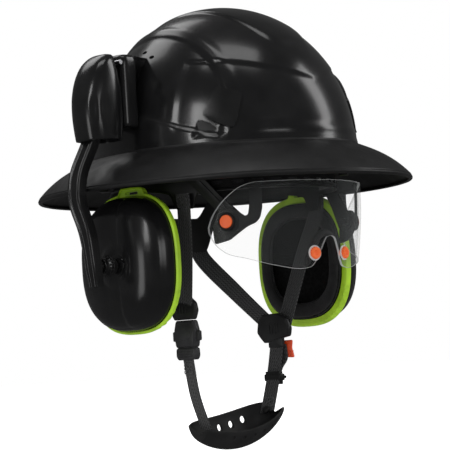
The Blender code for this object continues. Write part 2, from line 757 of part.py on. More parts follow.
def upper_straps(side, word, slider_low, slider_high):
    """Front and rear webbing, which cross at the slider and stop at its faces."""
    middle_z = (slider_low[2] + slider_high[2]) / 2
    top = (side * 75.0, -31.0, BAND_LOW - 3.0)
    foot = (side * (SLIDER_X + 1.2), -5.0, middle_z)
    front = webbing_strip("front_strap_" + word, [top, (side * 68, -21, -52), foot], (0, 1, 0.25),
                          STRAP_WIDTH - 3)
    start = (side * 50.0, 81.0, BAND_LOW - 31.0)
    foot = (side * (SLIDER_X - 1.2), 5.0, middle_z)
    half_way = (side * 54.0, 46, (start[2] + foot[2]) / 2)
    rear = webbing_strip("rear_strap_" + word, [start, half_way, foot], (0, 0.75, 0.66),
                         STRAP_WIDTH - 4)
    low = Vector(slider_low) - Vector((GAP, GAP, GAP))
    high = Vector(slider_high) + Vector((GAP, GAP, GAP))
    stop = cutter("cut_straps_" + word, block(low, high))
    combine(front, stop, "DIFFERENCE")
    combine(rear, stop, "DIFFERENCE")


def left_slider():
    """Slider, orange lock lever, keeper and lower webbing at the wearer's left."""
    low = (SLIDER_X - 3.0, -14, SLIDER_Z - 12)
    high = (SLIDER_X + 3.0, 23, SLIDER_Z + 12.6)
    add("strap_slider_left", block(low, high, 2.0), satin_black())
    upper_straps(LEFT, "left", low, high)
    hinge = (SLIDER_X + 4.6, 3.0, SLIDER_Z - 13.0)
    lever = block((SLIDER_X + 3.4, -12, SLIDER_Z - 25), (SLIDER_X + 5.8, 17, SLIDER_Z - 10.0), 0.8)
    add("lock_lever_left", lever, lock_red(), hinge)
    start = Vector((SLIDER_X, 3.0, SLIDER_Z - 13.0))
    end = chin_end(LEFT)
    middle = Vector((50.0, 4.5, (start.z + end.z) / 2))
    webbing_strip("lower_strap_left", [start, middle, end], (0, 1, 0), STRAP_WIDTH - 3, 5, start)
    low = middle + Vector((2.2, -9.5, -2.8))
    keeper = block(low, low + Vector((2.4, 19, 5.6)), 0.7)
    add("strap_keeper", keeper, satin_black(), start)


def right_buckle():
    """Slider, side-release buckle and lower webbing at the wearer's right."""
    low = (-SLIDER_X - 2.8, BUCKLE_Y - 13, SLIDER_Z + 10)
    high = (-SLIDER_X + 2.8, BUCKLE_Y + 17, SLIDER_Z + 28.4)
    add("strap_slider_right", block(low, high, 1.8), satin_black())
    upper_straps(RIGHT, "right", low, high)
    low = (-SLIDER_X - 4.0, BUCKLE_Y - 12, SLIDER_Z - 12)
    high = (-SLIDER_X + 4.0, BUCKLE_Y + 12, SLIDER_Z + 9.6)
    house = add("buckle_housing", block(low, high, 1.8), buckle_grey())
    socket = block((-SLIDER_X - 2.2, BUCKLE_Y - 9, SLIDER_Z - 20),
                   (-SLIDER_X + 2.2, BUCKLE_Y + 9, SLIDER_Z + 6))
    combine(house, cutter("cut_buckle", socket), "DIFFERENCE")
    base = Vector((-SLIDER_X, BUCKLE_Y, SLIDER_Z - 12.5))
    body = block(base - Vector((3.6, 11, 9.5)), base + Vector((3.6, 11, 0)), 1.5)
    plug = add("buckle_plug", body, buckle_grey(), base)
    tongue = block(base - Vector((1.8, 8.4, 3.5)), base + Vector((1.8, 8.4, 17.5)))
    combine(plug, cutter("join_tongue_buckle", tongue), "UNION")
    start = base - Vector((0, 0, 10.5))
    end = chin_end(RIGHT)
    middle = Vector((-50.0, -4.0, (start.z + end.z) / 2))
    webbing_strip("lower_strap_right", [start, middle, end], (0.2, 1, 0), STRAP_WIDTH - 3, 5, start)


def main():
    clear_scene()
    shell()
    for side, word in SIDES:
        dome_plate("slot_cover_" + word, side, -42.5, 7.5, 44, 74, satin_black())
    suspension()
    nape()
    for side, word in SIDES:
        muff_adapter(side, word)
        muff_hood(side, word)
        hinge_pin(side, word)
        muff_arm(side, word)
        arm_slider(side, word)
        pivot_ball(side, word)
        ear_cup(side, word)
    visor()
    left_slider()
    right_buckle()
    chin_cup()


main()
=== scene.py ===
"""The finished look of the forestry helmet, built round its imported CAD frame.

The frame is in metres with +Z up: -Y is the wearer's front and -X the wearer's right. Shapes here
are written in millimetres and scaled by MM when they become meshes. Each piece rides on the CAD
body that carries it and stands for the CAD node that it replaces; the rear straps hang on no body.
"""

import math

import bmesh
import bpy
from mathutils import Matrix, Vector


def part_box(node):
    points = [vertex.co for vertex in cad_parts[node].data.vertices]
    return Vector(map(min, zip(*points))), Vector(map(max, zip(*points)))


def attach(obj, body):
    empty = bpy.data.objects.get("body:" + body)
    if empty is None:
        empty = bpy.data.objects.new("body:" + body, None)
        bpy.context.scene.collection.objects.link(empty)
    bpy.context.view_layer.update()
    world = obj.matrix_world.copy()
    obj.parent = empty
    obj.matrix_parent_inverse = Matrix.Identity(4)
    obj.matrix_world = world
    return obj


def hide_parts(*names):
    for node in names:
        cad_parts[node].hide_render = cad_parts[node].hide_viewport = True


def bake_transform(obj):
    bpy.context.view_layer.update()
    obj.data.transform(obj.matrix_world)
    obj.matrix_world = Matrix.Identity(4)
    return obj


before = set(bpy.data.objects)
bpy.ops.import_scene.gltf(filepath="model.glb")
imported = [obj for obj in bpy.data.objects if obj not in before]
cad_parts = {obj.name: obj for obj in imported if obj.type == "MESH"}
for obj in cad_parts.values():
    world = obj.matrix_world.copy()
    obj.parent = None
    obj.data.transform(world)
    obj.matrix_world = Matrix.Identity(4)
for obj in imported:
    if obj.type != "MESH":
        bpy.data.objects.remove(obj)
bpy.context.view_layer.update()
MM = 0.001
SIDES = ((-1, "right"), (1, "left"))


def low(node):
    """Lowest corner of a CAD node in millimetres."""
    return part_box(node)[0] / MM


def high(node):
    """Highest corner of a CAD node in millimetres."""
    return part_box(node)[1] / MM


def middle(node):
    """Centre of a CAD node's box in millimetres."""
    return (low(node) + high(node)) / 2


# driving sizes, in millimetres
BRIM_X = high("shell").x
BRIM_Y = high("shell").y
DOME_X = 102.6
DOME_Y = 119.0
DOME_BASE = 31.5
DOME_HEIGHT = 120.0
BRIM_DROP = 28.0
WALL = 2.8
BAND_X = 78.0
BAND_Y = 99.0
NAPE_X = BAND_X + 3.0                # inner face of the nape cradle
NAPE_Y = BAND_Y + 3.0
BAND_LOW = low("headband").z        # where the front webbing is sewn on
BAND_FRONT = -4.0                   # lower edge across the forehead
BAND_SIDE = 1.5                     # lower edge from the ears back
BAND_HIGH = high("headband").z
CROWN_Z = 110.0
CUP_RIM_X = 100.0
CUP_Y = 6.5
CUP_Z = -56.0
CUP_HALF_Y = 49.0
CUP_HALF_Z = 53.0
CUP_POWER = 2.6
PIVOT_Y = 0.5
PIVOT_Z = -58.0
ADAPTER_X = high("muff_adapter_left").x
ADAPTER_Y = high("muff_adapter_left").y
ADAPTER_CORNER = 99.5               # where its front face turns back to the dome
LENS_X = 79.0
LENS_BACK = -55.0
LENS_Y = 63.0
LENS_WALL = 2.0
LENS_TURN = 1.35                    # millimetres round the lens for one degree
BRACKET_IN = 3.0                    # outer face of the bracket, behind that of the lens
BUTTON = Vector((71.6, -74.5, -29.5))
VISOR_TOP = Vector((83.2, -28.0, 28.0))
VISOR_LEAN = 21.5                   # how far the arm leans in on its way to the button
STRAP = 1.6
CHIN = Vector((0.0, -1.5, -194.0))
CHIN_TILT = 8.5


# ---------------------------------------------------------------- materials

class Paint:
    """A material with one Principled shader, and short ways to wire nodes into it."""

    def __init__(self, name, colour, roughness, **values):
        self.made = bpy.data.materials.new(name)
        self.made.use_nodes = True
        self.nodes = self.made.node_tree.nodes
        self.links = self.made.node_tree.links
        self.shader = self.nodes["Principled BSDF"]
        self.shader.inputs["Base Color"].default_value = (*colour, 1)
        self.shader.inputs["Roughness"].default_value = roughness
        for socket, value in values.items():
            self.shader.inputs[socket.replace("_", " ")].default_value = value
        self.place = self.add("ShaderNodeTexCoord").outputs["Object"]

    def add(self, kind, **settings):
        node = self.nodes.new(kind)
        for key, value in settings.items():
            setattr(node, key, value)
        return node

    def stretch(self, scale):
        """Object coordinates scaled differently along X, Y and Z."""
        node = self.add("ShaderNodeMapping")
        node.inputs["Scale"].default_value = scale
        self.links.new(self.place, node.inputs["Vector"])
        return node.outputs["Vector"]

    def noise(self, scale, detail=3.0, source=None):
        node = self.add("ShaderNodeTexNoise")
        node.inputs["Scale"].default_value = scale
        node.inputs["Detail"].default_value = detail
        self.links.new(source or self.place, node.inputs["Vector"])
        return node.outputs["Fac"]

    def cells(self, scale, feature="F1"):
        node = self.add("ShaderNodeTexVoronoi", feature=feature)
        node.inputs["Scale"].default_value = scale
        self.links.new(self.place, node.inputs["Vector"])
        return node.outputs["Distance"]

    def maths(self, operation, first, second=0.0):
        node = self.add("ShaderNodeMath", operation=operation)
        for socket, value in zip(node.inputs, (first, second)):
            if isinstance(value, (int, float)):
                socket.default_value = value
            else:
                self.links.new(value, socket)
        return node.outputs[0]

    def spread(self, source, least, most, start=0.3, stop=0.7):
        """A reading of the source, spread over a range of values."""
        node = self.add("ShaderNodeMapRange")
        for key, value in zip(("From Min", "From Max", "To Min", "To Max"), (start, stop, least, most)):
            node.inputs[key].default_value = value
        self.links.new(source, node.inputs["Value"])
        return node.outputs["Result"]

    def rough(self, source, least, most):
        self.links.new(self.spread(source, least, most), self.shader.inputs["Roughness"])

    def tones(self, source, first, second):
        node = self.add("ShaderNodeMix", data_type="RGBA")
        node.inputs["A"].default_value = (*first, 1)
        node.inputs["B"].default_value = (*second, 1)
        self.links.new(self.spread(source, 0.0, 1.0), node.inputs["Factor"])
        self.links.new(node.outputs["Result"], self.shader.inputs["Base Color"])

    def bump(self, source, strength, depth):
        """A bump of this depth in millimetres; a second one lies over the first."""
        node = self.add("ShaderNodeBump")
        node.inputs["Strength"].default_value = strength
        node.inputs["Distance"].default_value = depth * MM
        self.links.new(source, node.inputs["Height"])
        before = self.shader.inputs["Normal"].links
        if before:
            self.links.new(before[0].from_socket, node.inputs["Normal"])
        self.links.new(node.outputs["Normal"], self.shader.inputs["Normal"])


def plastic(name, colour, gloss, grain, coat=0.0):
    """Moulded plastic: a slightly uneven tone, a drifting gloss and a fine grain."""
    paint = Paint(name, colour, gloss, Coat_Weight=coat, Coat_Roughness=0.06)
    lighter = [min(1.0, c * 1.3 + 0.002) for c in colour]
    paint.tones(paint.noise(45, 4), [c * 0.85 for c in colour], lighter)
    paint.rough(paint.noise(30, 5), gloss * 0.8, gloss * 1.3)
    paint.bump(paint.noise(2600, 2), grain, 0.06)
    paint.bump(paint.noise(140, 2), grain * 0.35, 0.12)
    return paint.made


def textured_plastic(name, colour, gloss):
    """Moulded plastic with an even spark-eroded grain."""
    paint = Paint(name, colour, gloss, Specular_IOR_Level=0.4)
    paint.tones(paint.noise(60, 4), [c * 0.8 for c in colour], [c * 1.35 for c in colour])
    paint.rough(paint.noise(80, 5), gloss * 0.85, gloss * 1.2)
    paint.bump(paint.cells(1500), 0.22, 0.08)
    paint.bump(paint.noise(3200, 3), 0.25, 0.06)
    return paint.made


def woven(name, colour, pitch=0.0011):
    """Webbing: a plain weave along the strip's own length and width, with a little fuzz."""
    paint = Paint(name, colour, 0.7, Sheen_Weight=0.25, Sheen_Roughness=0.4)
    split = paint.add("ShaderNodeSeparateXYZ")
    paint.links.new(paint.add("ShaderNodeUVMap", uv_map="UVMap").outputs["UV"], split.inputs["Vector"])
    waves = []
    for axis, step in (("X", pitch), ("Y", pitch * 1.4)):
        turns = paint.maths("MULTIPLY", split.outputs[axis], math.pi / step)
        waves.append(paint.maths("SINE", turns))
    weave = paint.maths("MULTIPLY", waves[0], waves[1])
    height = paint.maths("MULTIPLY_ADD", weave, 0.5)
    height.node.inputs[2].default_value = 0.5
    # colour follows the weave's height: painted shade in its hollows and a painted highlight on its crowns
    paint.tones(height, [c * 0.6 for c in colour], [c * 1.7 for c in colour])
    paint.rough(paint.noise(500, 4), 0.6, 0.85)
    paint.bump(height, 0.55, 0.18)
    paint.bump(paint.noise(5000, 2), 0.3, 0.05)
    return paint.made


def leatherette(name, colour):
    """Soft black cushion skin with a pebbled grain and shallow creases."""
    paint = Paint(name, colour, 0.5, Sheen_Weight=0.08)
    paint.tones(paint.noise(120, 5), [c * 0.75 for c in colour], [c * 1.5 for c in colour])
    paint.rough(paint.cells(900), 0.42, 0.6)
    paint.bump(paint.cells(850), 0.35, 0.15)
    paint.bump(paint.noise(70, 3), 0.25, 0.5)
    return paint.made


def knitted(name, colour):
    """Sweatband cloth: a fine open knit over foam."""
    paint = Paint(name, colour, 0.85, Sheen_Weight=0.35, Sheen_Roughness=0.5)
    # colour follows the knit's cells: painted shade in its pores, paler between them
    paint.tones(paint.cells(700), [c * 0.5 for c in colour], [c * 1.6 for c in colour])
    paint.rough(paint.noise(400, 3), 0.75, 0.95)
    paint.bump(paint.cells(700), 0.6, 0.35)
    paint.bump(paint.noise(1800, 3), 0.3, 0.1)
    return paint.made


def open_foam(name, colour):
    """Open-cell foam with pores of two sizes."""
    paint = Paint(name, colour, 0.95, Specular_IOR_Level=0.2)
    # colour follows the pores: painted shade in them, paler between them
    paint.tones(paint.cells(420), [c * 0.6 for c in colour], [c * 1.3 for c in colour])
    paint.rough(paint.noise(300, 4), 0.88, 1.0)
    paint.bump(paint.cells(420), 0.4, 0.3)
    paint.bump(paint.cells(1300), 0.3, 0.2)
    return paint.made


def brushed_steel():
    """Steel with fine streaks along one direction."""
    paint = Paint("brushed_steel", (0.55, 0.55, 0.57), 0.3, Metallic=1.0)
    streaks = paint.noise(60, 4, paint.stretch((30, 1.5, 30)))
    paint.rough(streaks, 0.22, 0.42)
    paint.bump(streaks, 0.12, 0.04)
    return paint.made


def lens_clear(name, tint, alpha, edge):
    """Thin polycarbonate: nearly clear face on, and more opaque where it is seen edge on, so its tint shows
    there as a painted reflection.
    """
    paint = Paint(name, tint, 0.04, Specular_IOR_Level=0.6, Coat_Weight=0.5, Coat_Roughness=0.03)
    # opacity rises towards grazing angles: a painted reflection
    facing = paint.add("ShaderNodeLayerWeight")
    facing.inputs["Blend"].default_value = 0.25
    reflection_opacity = paint.spread(facing.outputs["Facing"], alpha, edge, 0.15, 1.0)
    paint.links.new(reflection_opacity, paint.shader.inputs["Alpha"])
    paint.rough(paint.noise(90, 3), 0.02, 0.05)
    return paint.made


GLOSS = plastic("gloss_black", (0.005, 0.005, 0.0053), 0.2, 0.05, 0.1)
SATIN = textured_plastic("satin_black", (0.007, 0.007, 0.0072), 0.45)
MOULDED = plastic("moulded_black", (0.006, 0.006, 0.0062), 0.22, 0.08)
SLIDER = textured_plastic("slider_black", (0.016, 0.016, 0.0165), 0.38)
NYLON = textured_plastic("nylon_black", (0.008, 0.008, 0.0082), 0.42)
LIME = plastic("lime", (0.36, 0.60, 0.025), 0.32, 0.12)
ORANGE = plastic("orange", (0.95, 0.13, 0.02), 0.36, 0.12)
LOCK_RED = plastic("lock_red", (0.83, 0.075, 0.012), 0.38, 0.12)
BUCKLE = textured_plastic("buckle_grey", (0.03, 0.03, 0.032), 0.4)
RUBBER = textured_plastic("soft_rubber", (0.011, 0.011, 0.0115), 0.58)
WEBBING = woven("webbing", (0.034, 0.034, 0.035))
THREAD = woven("thread", (0.06, 0.06, 0.062), 0.0004)
SKIN = leatherette("cushion_skin", (0.013, 0.013, 0.014))
KNIT = knitted("sweatband_knit", (0.022, 0.022, 0.024))
FOAM = open_foam("liner_foam", (0.006, 0.006, 0.0062))
STEEL = brushed_steel()
LENS = lens_clear("lens_clear", (0.35, 0.37, 0.37), 0.025, 0.30)
# pale paint for the lens edge: a painted glint where the edge catches the light
LENS_EDGE_GLINT = lens_clear("lens_edge_glint", (0.88, 0.90, 0.90), 0.45, 0.8)


# ---------------------------------------------------------------- shapes

def smooth(value):
    """0 below 0, 1 above 1, and an even curve between them."""
    t = min(1.0, max(0.0, value))
    return t * t * (3 - 2 * t)


def bulge(value, power):
    """A sine or cosine raised to a power that squares off the outline, with its sign kept."""
    return math.copysign(abs(value) ** power, value)


def circle(radius, steps, centre=(0, 0)):
    """Points of a circle in two directions."""
    turns = [math.tau * k / steps for k in range(steps)]
    return [(centre[0] + radius * math.cos(t), centre[1] + radius * math.sin(t)) for t in turns]


def arc(radius, start, stop, steps, centre=(0, 0)):
    """Points of a circle from one angle to another, in degrees."""
    turns = [math.radians(start + (stop - start) * k / steps) for k in range(steps + 1)]
    return [(centre[0] + radius * math.cos(t), centre[1] + radius * math.sin(t)) for t in turns]


def pill(out, half_out, z0, z1):
    """The section of a standing pad: (outwards, height) pairs with full, rounded ends."""
    return [(out + half_out * c, (z0 + z1) / 2 + (z1 - z0) / 2 * bulge(s, 0.5)) for c, s in circle(1, 12)]


def bead(value):
    """A rounded bump of height 1 that spans -1 to 1."""
    return 0.5 + 0.5 * math.cos(math.pi * value) if abs(value) < 1 else 0.0


def reading(points, x):
    """A smooth reading of y at x through a few (x, y) points, without overshoot."""
    if x <= points[0][0]:
        return points[0][1]
    if x >= points[-1][0]:
        return points[-1][1]
    slopes = [(b[1] - a[1]) / (b[0] - a[0]) for a, b in zip(points, points[1:])]
    tangents = [slopes[0]]
    for a, b in zip(slopes, slopes[1:]):
        tangents.append(0.0 if a * b <= 0 else 2 * a * b / (a + b))
    tangents.append(slopes[-1])
    k = max(i for i in range(len(slopes)) if points[i][0] <= x)
    span = points[k + 1][0] - points[k][0]
    t = (x - points[k][0]) / span
    ends = points[k][1] * (1 + 2 * t) * (1 - t) ** 2 + points[k + 1][1] * t * t * (3 - 2 * t)
    return ends + span * (tangents[k] * t * (1 - t) ** 2 - tangents[k + 1] * t * t * (1 - t))


def curve(points, steps):
    """A Catmull-Rom curve through a few points."""
    p = [Vector(q) for q in points]
    p = [2 * p[0] - p[1]] + p + [2 * p[-1] - p[-2]]
    made = []
    for i in range(1, len(p) - 2):
        for k in range(steps):
            t = k / steps
            a = -p[i - 1] + 3 * p[i] - 3 * p[i + 1] + p[i + 2]
            b = 2 * p[i - 1] - 5 * p[i] + 4 * p[i + 1] - p[i + 2]
            made.append(p[i] + ((a * t + b) * t + (p[i + 1] - p[i - 1])) * t / 2)
    made.append(p[-2])
    return made


def shape(verts, faces, paint=0, uvs=None):
    """A mesh to be: corners in millimetres, faces, the number of its paint and its weave coordinates."""
    return {"verts": [tuple(v) for v in verts], "faces": faces, "paint": paint, "uvs": uvs}


def skin(rings, ends="fan", closed=False, paint=0, uvs=None):
    """A skin through rings of equal length; its ends are fans, flat faces or left open."""
    count, rows = len(rings[0]), len(rings)
    verts = [tuple(p) for ring in rings for p in ring]
    faces = []
    for r in range(rows if closed else rows - 1):
        n = (r + 1) % rows
        for i in range(count):
            j = (i + 1) % count
            faces.append((r * count + i, r * count + j, n * count + j, n * count + i))
    if not closed and ends != "open":
        for r in (0, rows - 1):
            ids = [r * count + i for i in range(count)]
            if ends == "flat":
                faces.append(tuple(ids))
                continue
            hub = len(verts)
            verts.append(tuple(sum((Vector(p) for p in rings[r]), Vector()) / count))
            faces += [(ids[i], ids[(i + 1) % count], hub) for i in range(count)]
    return shape(verts, faces, paint, uvs)


def mesh_object(name, shapes, paints=()):
    """One object from several shapes, in metres, each shape with outward normals."""
    whole = bmesh.new()
    layer = whole.loops.layers.uv.new("UVMap") if any(s["uvs"] for s in shapes) else None
    for part in shapes:
        verts = [whole.verts.new([c * MM for c in v]) for v in part["verts"]]
        made = []
        for ids in part["faces"]:
            face = whole.faces.new([verts[i] for i in ids])
            face.material_index = part["paint"]
            made.append(face)
            if layer and part["uvs"]:
                for loop, i in zip(face.loops, ids):
                    loop[layer].uv = part["uvs"][i]
        bmesh.ops.recalc_face_normals(whole, faces=made)
    mesh = bpy.data.meshes.new(name)
    whole.to_mesh(mesh)
    whole.free()
    for paint in paints:
        mesh.materials.append(paint)
    item = bpy.data.objects.new(name, mesh)
    bpy.context.scene.collection.objects.link(item)
    return item


def settle(item):
    """Turns an object's modifiers into its own mesh."""
    graph = bpy.context.evaluated_depsgraph_get()
    graph.update()
    done = bpy.data.meshes.new_from_object(item.evaluated_get(graph), depsgraph=graph)
    item.modifiers.clear()
    item.data = done


def carve(item, shapes):
    """Cuts shapes out of an object."""
    tool = mesh_object("tool", shapes, item.data.materials)
    change = item.modifiers.new("carve", "BOOLEAN")
    change.operation = "DIFFERENCE"
    change.solver = "EXACT"
    change.object = tool
    settle(item)
    bpy.data.objects.remove(tool, do_unlink=True)


def finish_piece(item, body, nodes, bevel=0.0, sharp=32):
    """Bevels and shades a piece, and hangs it on its CAD body in place of its CAD nodes."""
    if bevel:
        edge = item.modifiers.new("bevel", "BEVEL")
        edge.width = bevel * MM
        edge.segments = 3
        edge.limit_method = "ANGLE"
        edge.angle_limit = math.radians(38)
        settle(item)
    item.data.shade_smooth()
    item.data.set_sharp_from_angle(angle=math.radians(sharp))
    if body:
        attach(item, body)
    for node in nodes if isinstance(nodes, (list, tuple)) else [nodes]:
        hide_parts(node)
    return item


def piece(name, body, shapes, paints, nodes, bevel=0.0, sharp=32, cuts=()):
    """A finished object from shapes in millimetres, with optional cuts and bevelled edges."""
    if isinstance(shapes, dict):
        shapes = [shapes]
    item = mesh_object(name, shapes, paints)
    if cuts:
        carve(item, list(cuts))
    return finish_piece(item, body, nodes, bevel, sharp)


def turned(profile, centre, axis, steps=56, flutes=0, flute=0.0, paint=0, between=None):
    """A solid of revolution from (radius, along) pairs; flutes are cut where between allows."""
    turn = Vector((0, 0, 1)).rotation_difference(Vector(axis)).to_matrix()
    rings = []
    for radius, along in profile:
        ring = []
        for i in range(steps):
            angle = math.tau * i / steps
            inset = 0.0
            if flutes and (between is None or between[0] <= along <= between[1]):
                inset = flute * (0.5 + 0.5 * math.cos(flutes * angle))
            spot = Vector((math.cos(angle), math.sin(angle), 0)) * (radius - inset)
            spot.z = along
            ring.append(Vector(centre) + turn @ spot)
        rings.append(ring)
    return skin(rings, paint=paint)


def rounded_profile(points, radius=0.5, steps=4):
    """A turned profile whose corners are rounded."""
    made = [points[0]]
    for a, b, c in zip(points, points[1:], points[2:]):
        pa, pb, pc = Vector(a), Vector(b), Vector(c)
        reach = min(radius, (pa - pb).length * 0.45, (pc - pb).length * 0.45)
        start, stop = pb + (pa - pb).normalized() * reach, pb + (pc - pb).normalized() * reach
        for k in range(steps + 1):
            t = k / steps
            made.append(tuple(start.lerp(pb, t).lerp(pb.lerp(stop, t), t)))
    made.append(points[-1])
    return made


def rounded_loop(points, radius, steps=4):
    """A closed outline whose corners are rounded."""
    wrapped = [points[-1]] + list(points) + [points[0]]
    return rounded_profile(wrapped, radius, steps)[1:-1]


def prism(outline, place, depths):
    """A solid from an outline in two directions, pushed through the given (depth, inset) pairs."""
    centre = sum((Vector(p) for p in outline), Vector((0, 0))) / len(outline)
    rings = []
    for depth, inset in depths:
        ring = []
        for point in outline:
            away = Vector(point) - centre
            moved = Vector(point) - away.normalized() * inset
            ring.append(place(moved.x, moved.y, depth))
        rings.append(ring)
    return skin(rings, "flat")


def box_shape(low_corner, high_corner, radius=1.0, axis=0, paint=0):
    """A rounded box: a rounded outline pushed along one axis, with softened end edges."""
    a, b = Vector(low_corner), Vector(high_corner)
    first, second = [i for i in range(3) if i != axis]
    outline = rounded_loop([(a[first], a[second]), (b[first], a[second]), (b[first], b[second]),
                            (a[first], b[second])], radius, 5)

    def place(u, v, depth):
        spot = Vector((0, 0, 0))
        spot[first], spot[second], spot[axis] = u, v, depth
        return spot

    soft = min(radius * 0.6, (b[axis] - a[axis]) * 0.25)
    depths = [(a[axis], soft), (a[axis] + soft * 0.3, soft * 0.3), (a[axis] + soft, 0),
              (b[axis] - soft, 0), (b[axis] - soft * 0.3, soft * 0.3), (b[axis], soft)]
    made = prism(outline, place, depths)
    made["paint"] = paint
    return made


def plate(outline, holes, place, levels, cuts_u, cuts_v, paint=0):
    """A sheet with an outline and holes in (u, v), laid over a surface by place(u, v, depth)."""
    built = bmesh.new()
    edges = []
    for loop in [outline] + list(holes):
        verts = [built.verts.new((u, v, 0)) for u, v in loop]
        edges += [built.edges.new(pair) for pair in zip(verts, verts[1:] + verts[:1])]
    bmesh.ops.triangle_fill(built, use_beauty=True, use_dissolve=False, edges=edges)
    bmesh.ops.join_triangles(built, faces=built.faces[:], angle_face_threshold=0.1,
                             angle_shape_threshold=3.0)
    for way, cuts in (((1, 0, 0), cuts_u), ((0, 1, 0), cuts_v)):
        for cut in cuts:
            everything = built.verts[:] + built.edges[:] + built.faces[:]
            bmesh.ops.bisect_plane(built, geom=everything, plane_co=Vector(way) * cut, plane_no=way)
    built.verts.index_update()
    flat = [v.co.copy() for v in built.verts]
    sheet = [[v.index for v in f.verts] for f in built.faces]
    border = [[v.index for v in e.verts] for e in built.edges if len(e.link_faces) == 1]
    built.free()
    count = len(flat)
    verts = [place(p.x, p.y, levels[0]) for p in flat] + [place(p.x, p.y, levels[1]) for p in flat]
    faces = [tuple(f) for f in sheet] + [tuple(i + count for i in reversed(f)) for f in sheet]
    faces += [(a, b, b + count, a + count) for a, b in border]
    return shape(verts, faces, paint)


def frange(start, stop, step):
    """Values from start up to stop, a step apart."""
    return [start + step * k for k in range(int((stop - start) / step) + 1)]


def tube(path, radius, sides=10, closed=False, paint=0):
    """A round cord of piping along a path."""
    points = [Vector(p) for p in path]
    count = len(points)
    rings = []
    for i, point in enumerate(points):
        if closed:
            ahead = (points[(i + 1) % count] - points[i - 1]).normalized()
        else:
            ahead = (points[min(i + 1, count - 1)] - points[max(i - 1, 0)]).normalized()
        across = ahead.cross(Vector((0.31, 0.17, 0.93))).normalized()
        up = ahead.cross(across)
        rings.append([point + (across * math.cos(math.tau * k / sides)
                               + up * math.sin(math.tau * k / sides)) * radius for k in range(sides)])
    return skin(rings, "fan", closed, paint)


def ribbon(path, across_ways, width, thick=STRAP, ribs=6, rib=0.42):
    """Webbing along a path, with lengthwise ribs on both faces and its own weave coordinates."""
    points = [Vector(p) for p in path]
    count = ribs * 6
    section = []
    for face in (1, -1):
        for i in range(count + 1):
            share = i / count if face > 0 else 1 - i / count
            edge = min(share, 1 - share) * width
            lift = thick / 2 - rib * (0.5 + 0.5 * math.cos(math.tau * ribs * share))
            lift *= 0.45 + 0.55 * smooth(edge / 0.9)
            section.append(((share - 0.5) * width, face * lift))
    rings, uvs = [], []
    travelled = 0.0
    for i, point in enumerate(points):
        ahead = points[min(i + 1, len(points) - 1)] - points[max(i - 1, 0)]
        way = across_ways[i] if isinstance(across_ways, list) else across_ways
        across = Vector(way)
        across -= ahead * across.dot(ahead) / ahead.length_squared
        across.normalize()
        out = ahead.cross(across).normalized()
        travelled += (point - points[i - 1]).length * MM if i else 0.0
        rings.append([point + across * a + out * b for a, b in section])
        uvs += [(a * MM, travelled) for a, b in section]
    uvs += [(0, 0), (0, travelled)]
    return skin(rings, uvs=uvs)


def stitch_line(start, stop, lift_way, radius=0.28, pitch=2.6):
    """A row of short raised stitches between two points."""
    start, stop, up = Vector(start), Vector(stop), Vector(lift_way).normalized()
    count = max(1, int((stop - start).length / pitch))
    made = []
    for k in range(count):
        first = start.lerp(stop, (k + 0.14) / count)
        last = start.lerp(stop, (k + 0.86) / count)
        path = [first - up * radius * 0.6, first.lerp(last, 0.2) + up * radius * 0.4,
                first.lerp(last, 0.8) + up * radius * 0.4, last - up * radius * 0.6]
        made.append(tube(path, radius, 6, paint=1))
    return made


def stitch_box(centre, along, across, out, length, width):
    """A box of stitches with a cross in it, as webbing is sewn."""
    centre, along, across, out = (Vector(v) for v in (centre, along, across, out))
    along, across, out = along.normalized(), across.normalized(), out.normalized()
    corners = [centre + along * length / 2 * a + across * width / 2 * b
               for a, b in ((-1, -1), (1, -1), (1, 1), (-1, 1))]
    made = []
    for a, b in ((0, 1), (1, 2), (2, 3), (3, 0), (0, 2), (1, 3)):
        made += stitch_line(corners[a], corners[b], out)
    return made


def squircle(x, centre, half_y, half_z, power, steps):
    """A rounded-square ring in a plane of constant x."""
    ring = []
    for i in range(steps):
        angle = math.tau * i / steps
        c, s = math.cos(angle), math.sin(angle)
        ring.append(Vector((x, centre[0] + half_y * bulge(c, 2 / power),
                            centre[1] + half_z * bulge(s, 2 / power))))
    return ring


def stuff(item, voxel, cap, keep=None):
    """Puffs a soft piece up: a voxel skin, a short pressure run of cloth, then one subdivision."""
    remesh = item.modifiers.new("remesh", "REMESH")
    remesh.mode = "VOXEL"
    remesh.voxel_size = voxel * MM
    settle(item)
    rest = [v.co.copy() for v in item.data.vertices]
    cloth = item.modifiers.new("cloth", "CLOTH")
    cloth.settings.use_pressure = True
    cloth.settings.uniform_pressure_force = 4.0
    cloth.settings.effector_weights.gravity = 0.0
    for number in range(1, 21):
        bpy.context.scene.frame_set(number)
    settle(item)
    bpy.context.scene.frame_set(1)
    for vertex, before in zip(item.data.vertices, rest):
        moved = vertex.co - before
        if moved.length > cap * MM:
            moved = moved.normalized() * cap * MM
        vertex.co = before + moved
        if keep:
            vertex.co = keep(vertex.co / MM) * MM
    soft = item.modifiers.new("soft", "SUBSURF")
    soft.levels = soft.render_levels = 1
    settle(item)


# ---------------------------------------------------------------- shell

COVER = [(96.5, 76.6), (75.3, 70.0), (84.9, 41.2), (110.0, 53.7)]   # (round the dome, height)
FACET = [(118.0, 36.5), (86.5, 39.3), (112.0, 50.5)]               # below the cover
AROUND = 1.93       # millimetres round the dome for one degree


def dome_half(z):
    """Half width and half length of the dome at a height."""
    lift = min(1.0, max(0.0, (z - DOME_BASE) / DOME_HEIGHT))
    share = math.sqrt(1 - lift * lift)
    return DOME_X * share, DOME_Y * share


def inside(outline, around, z):
    """How far a point lies inside an outline on the dome; less than 0 is outside."""
    nearest = 1e9
    for (u0, v0), (u1, v1) in zip(outline, outline[1:] + outline[:1]):
        length = math.hypot(u1 - u0, v1 - v0)
        nearest = min(nearest, ((around - u0) * (v1 - v0) - (z - v0) * (u1 - u0)) / length)
    return nearest


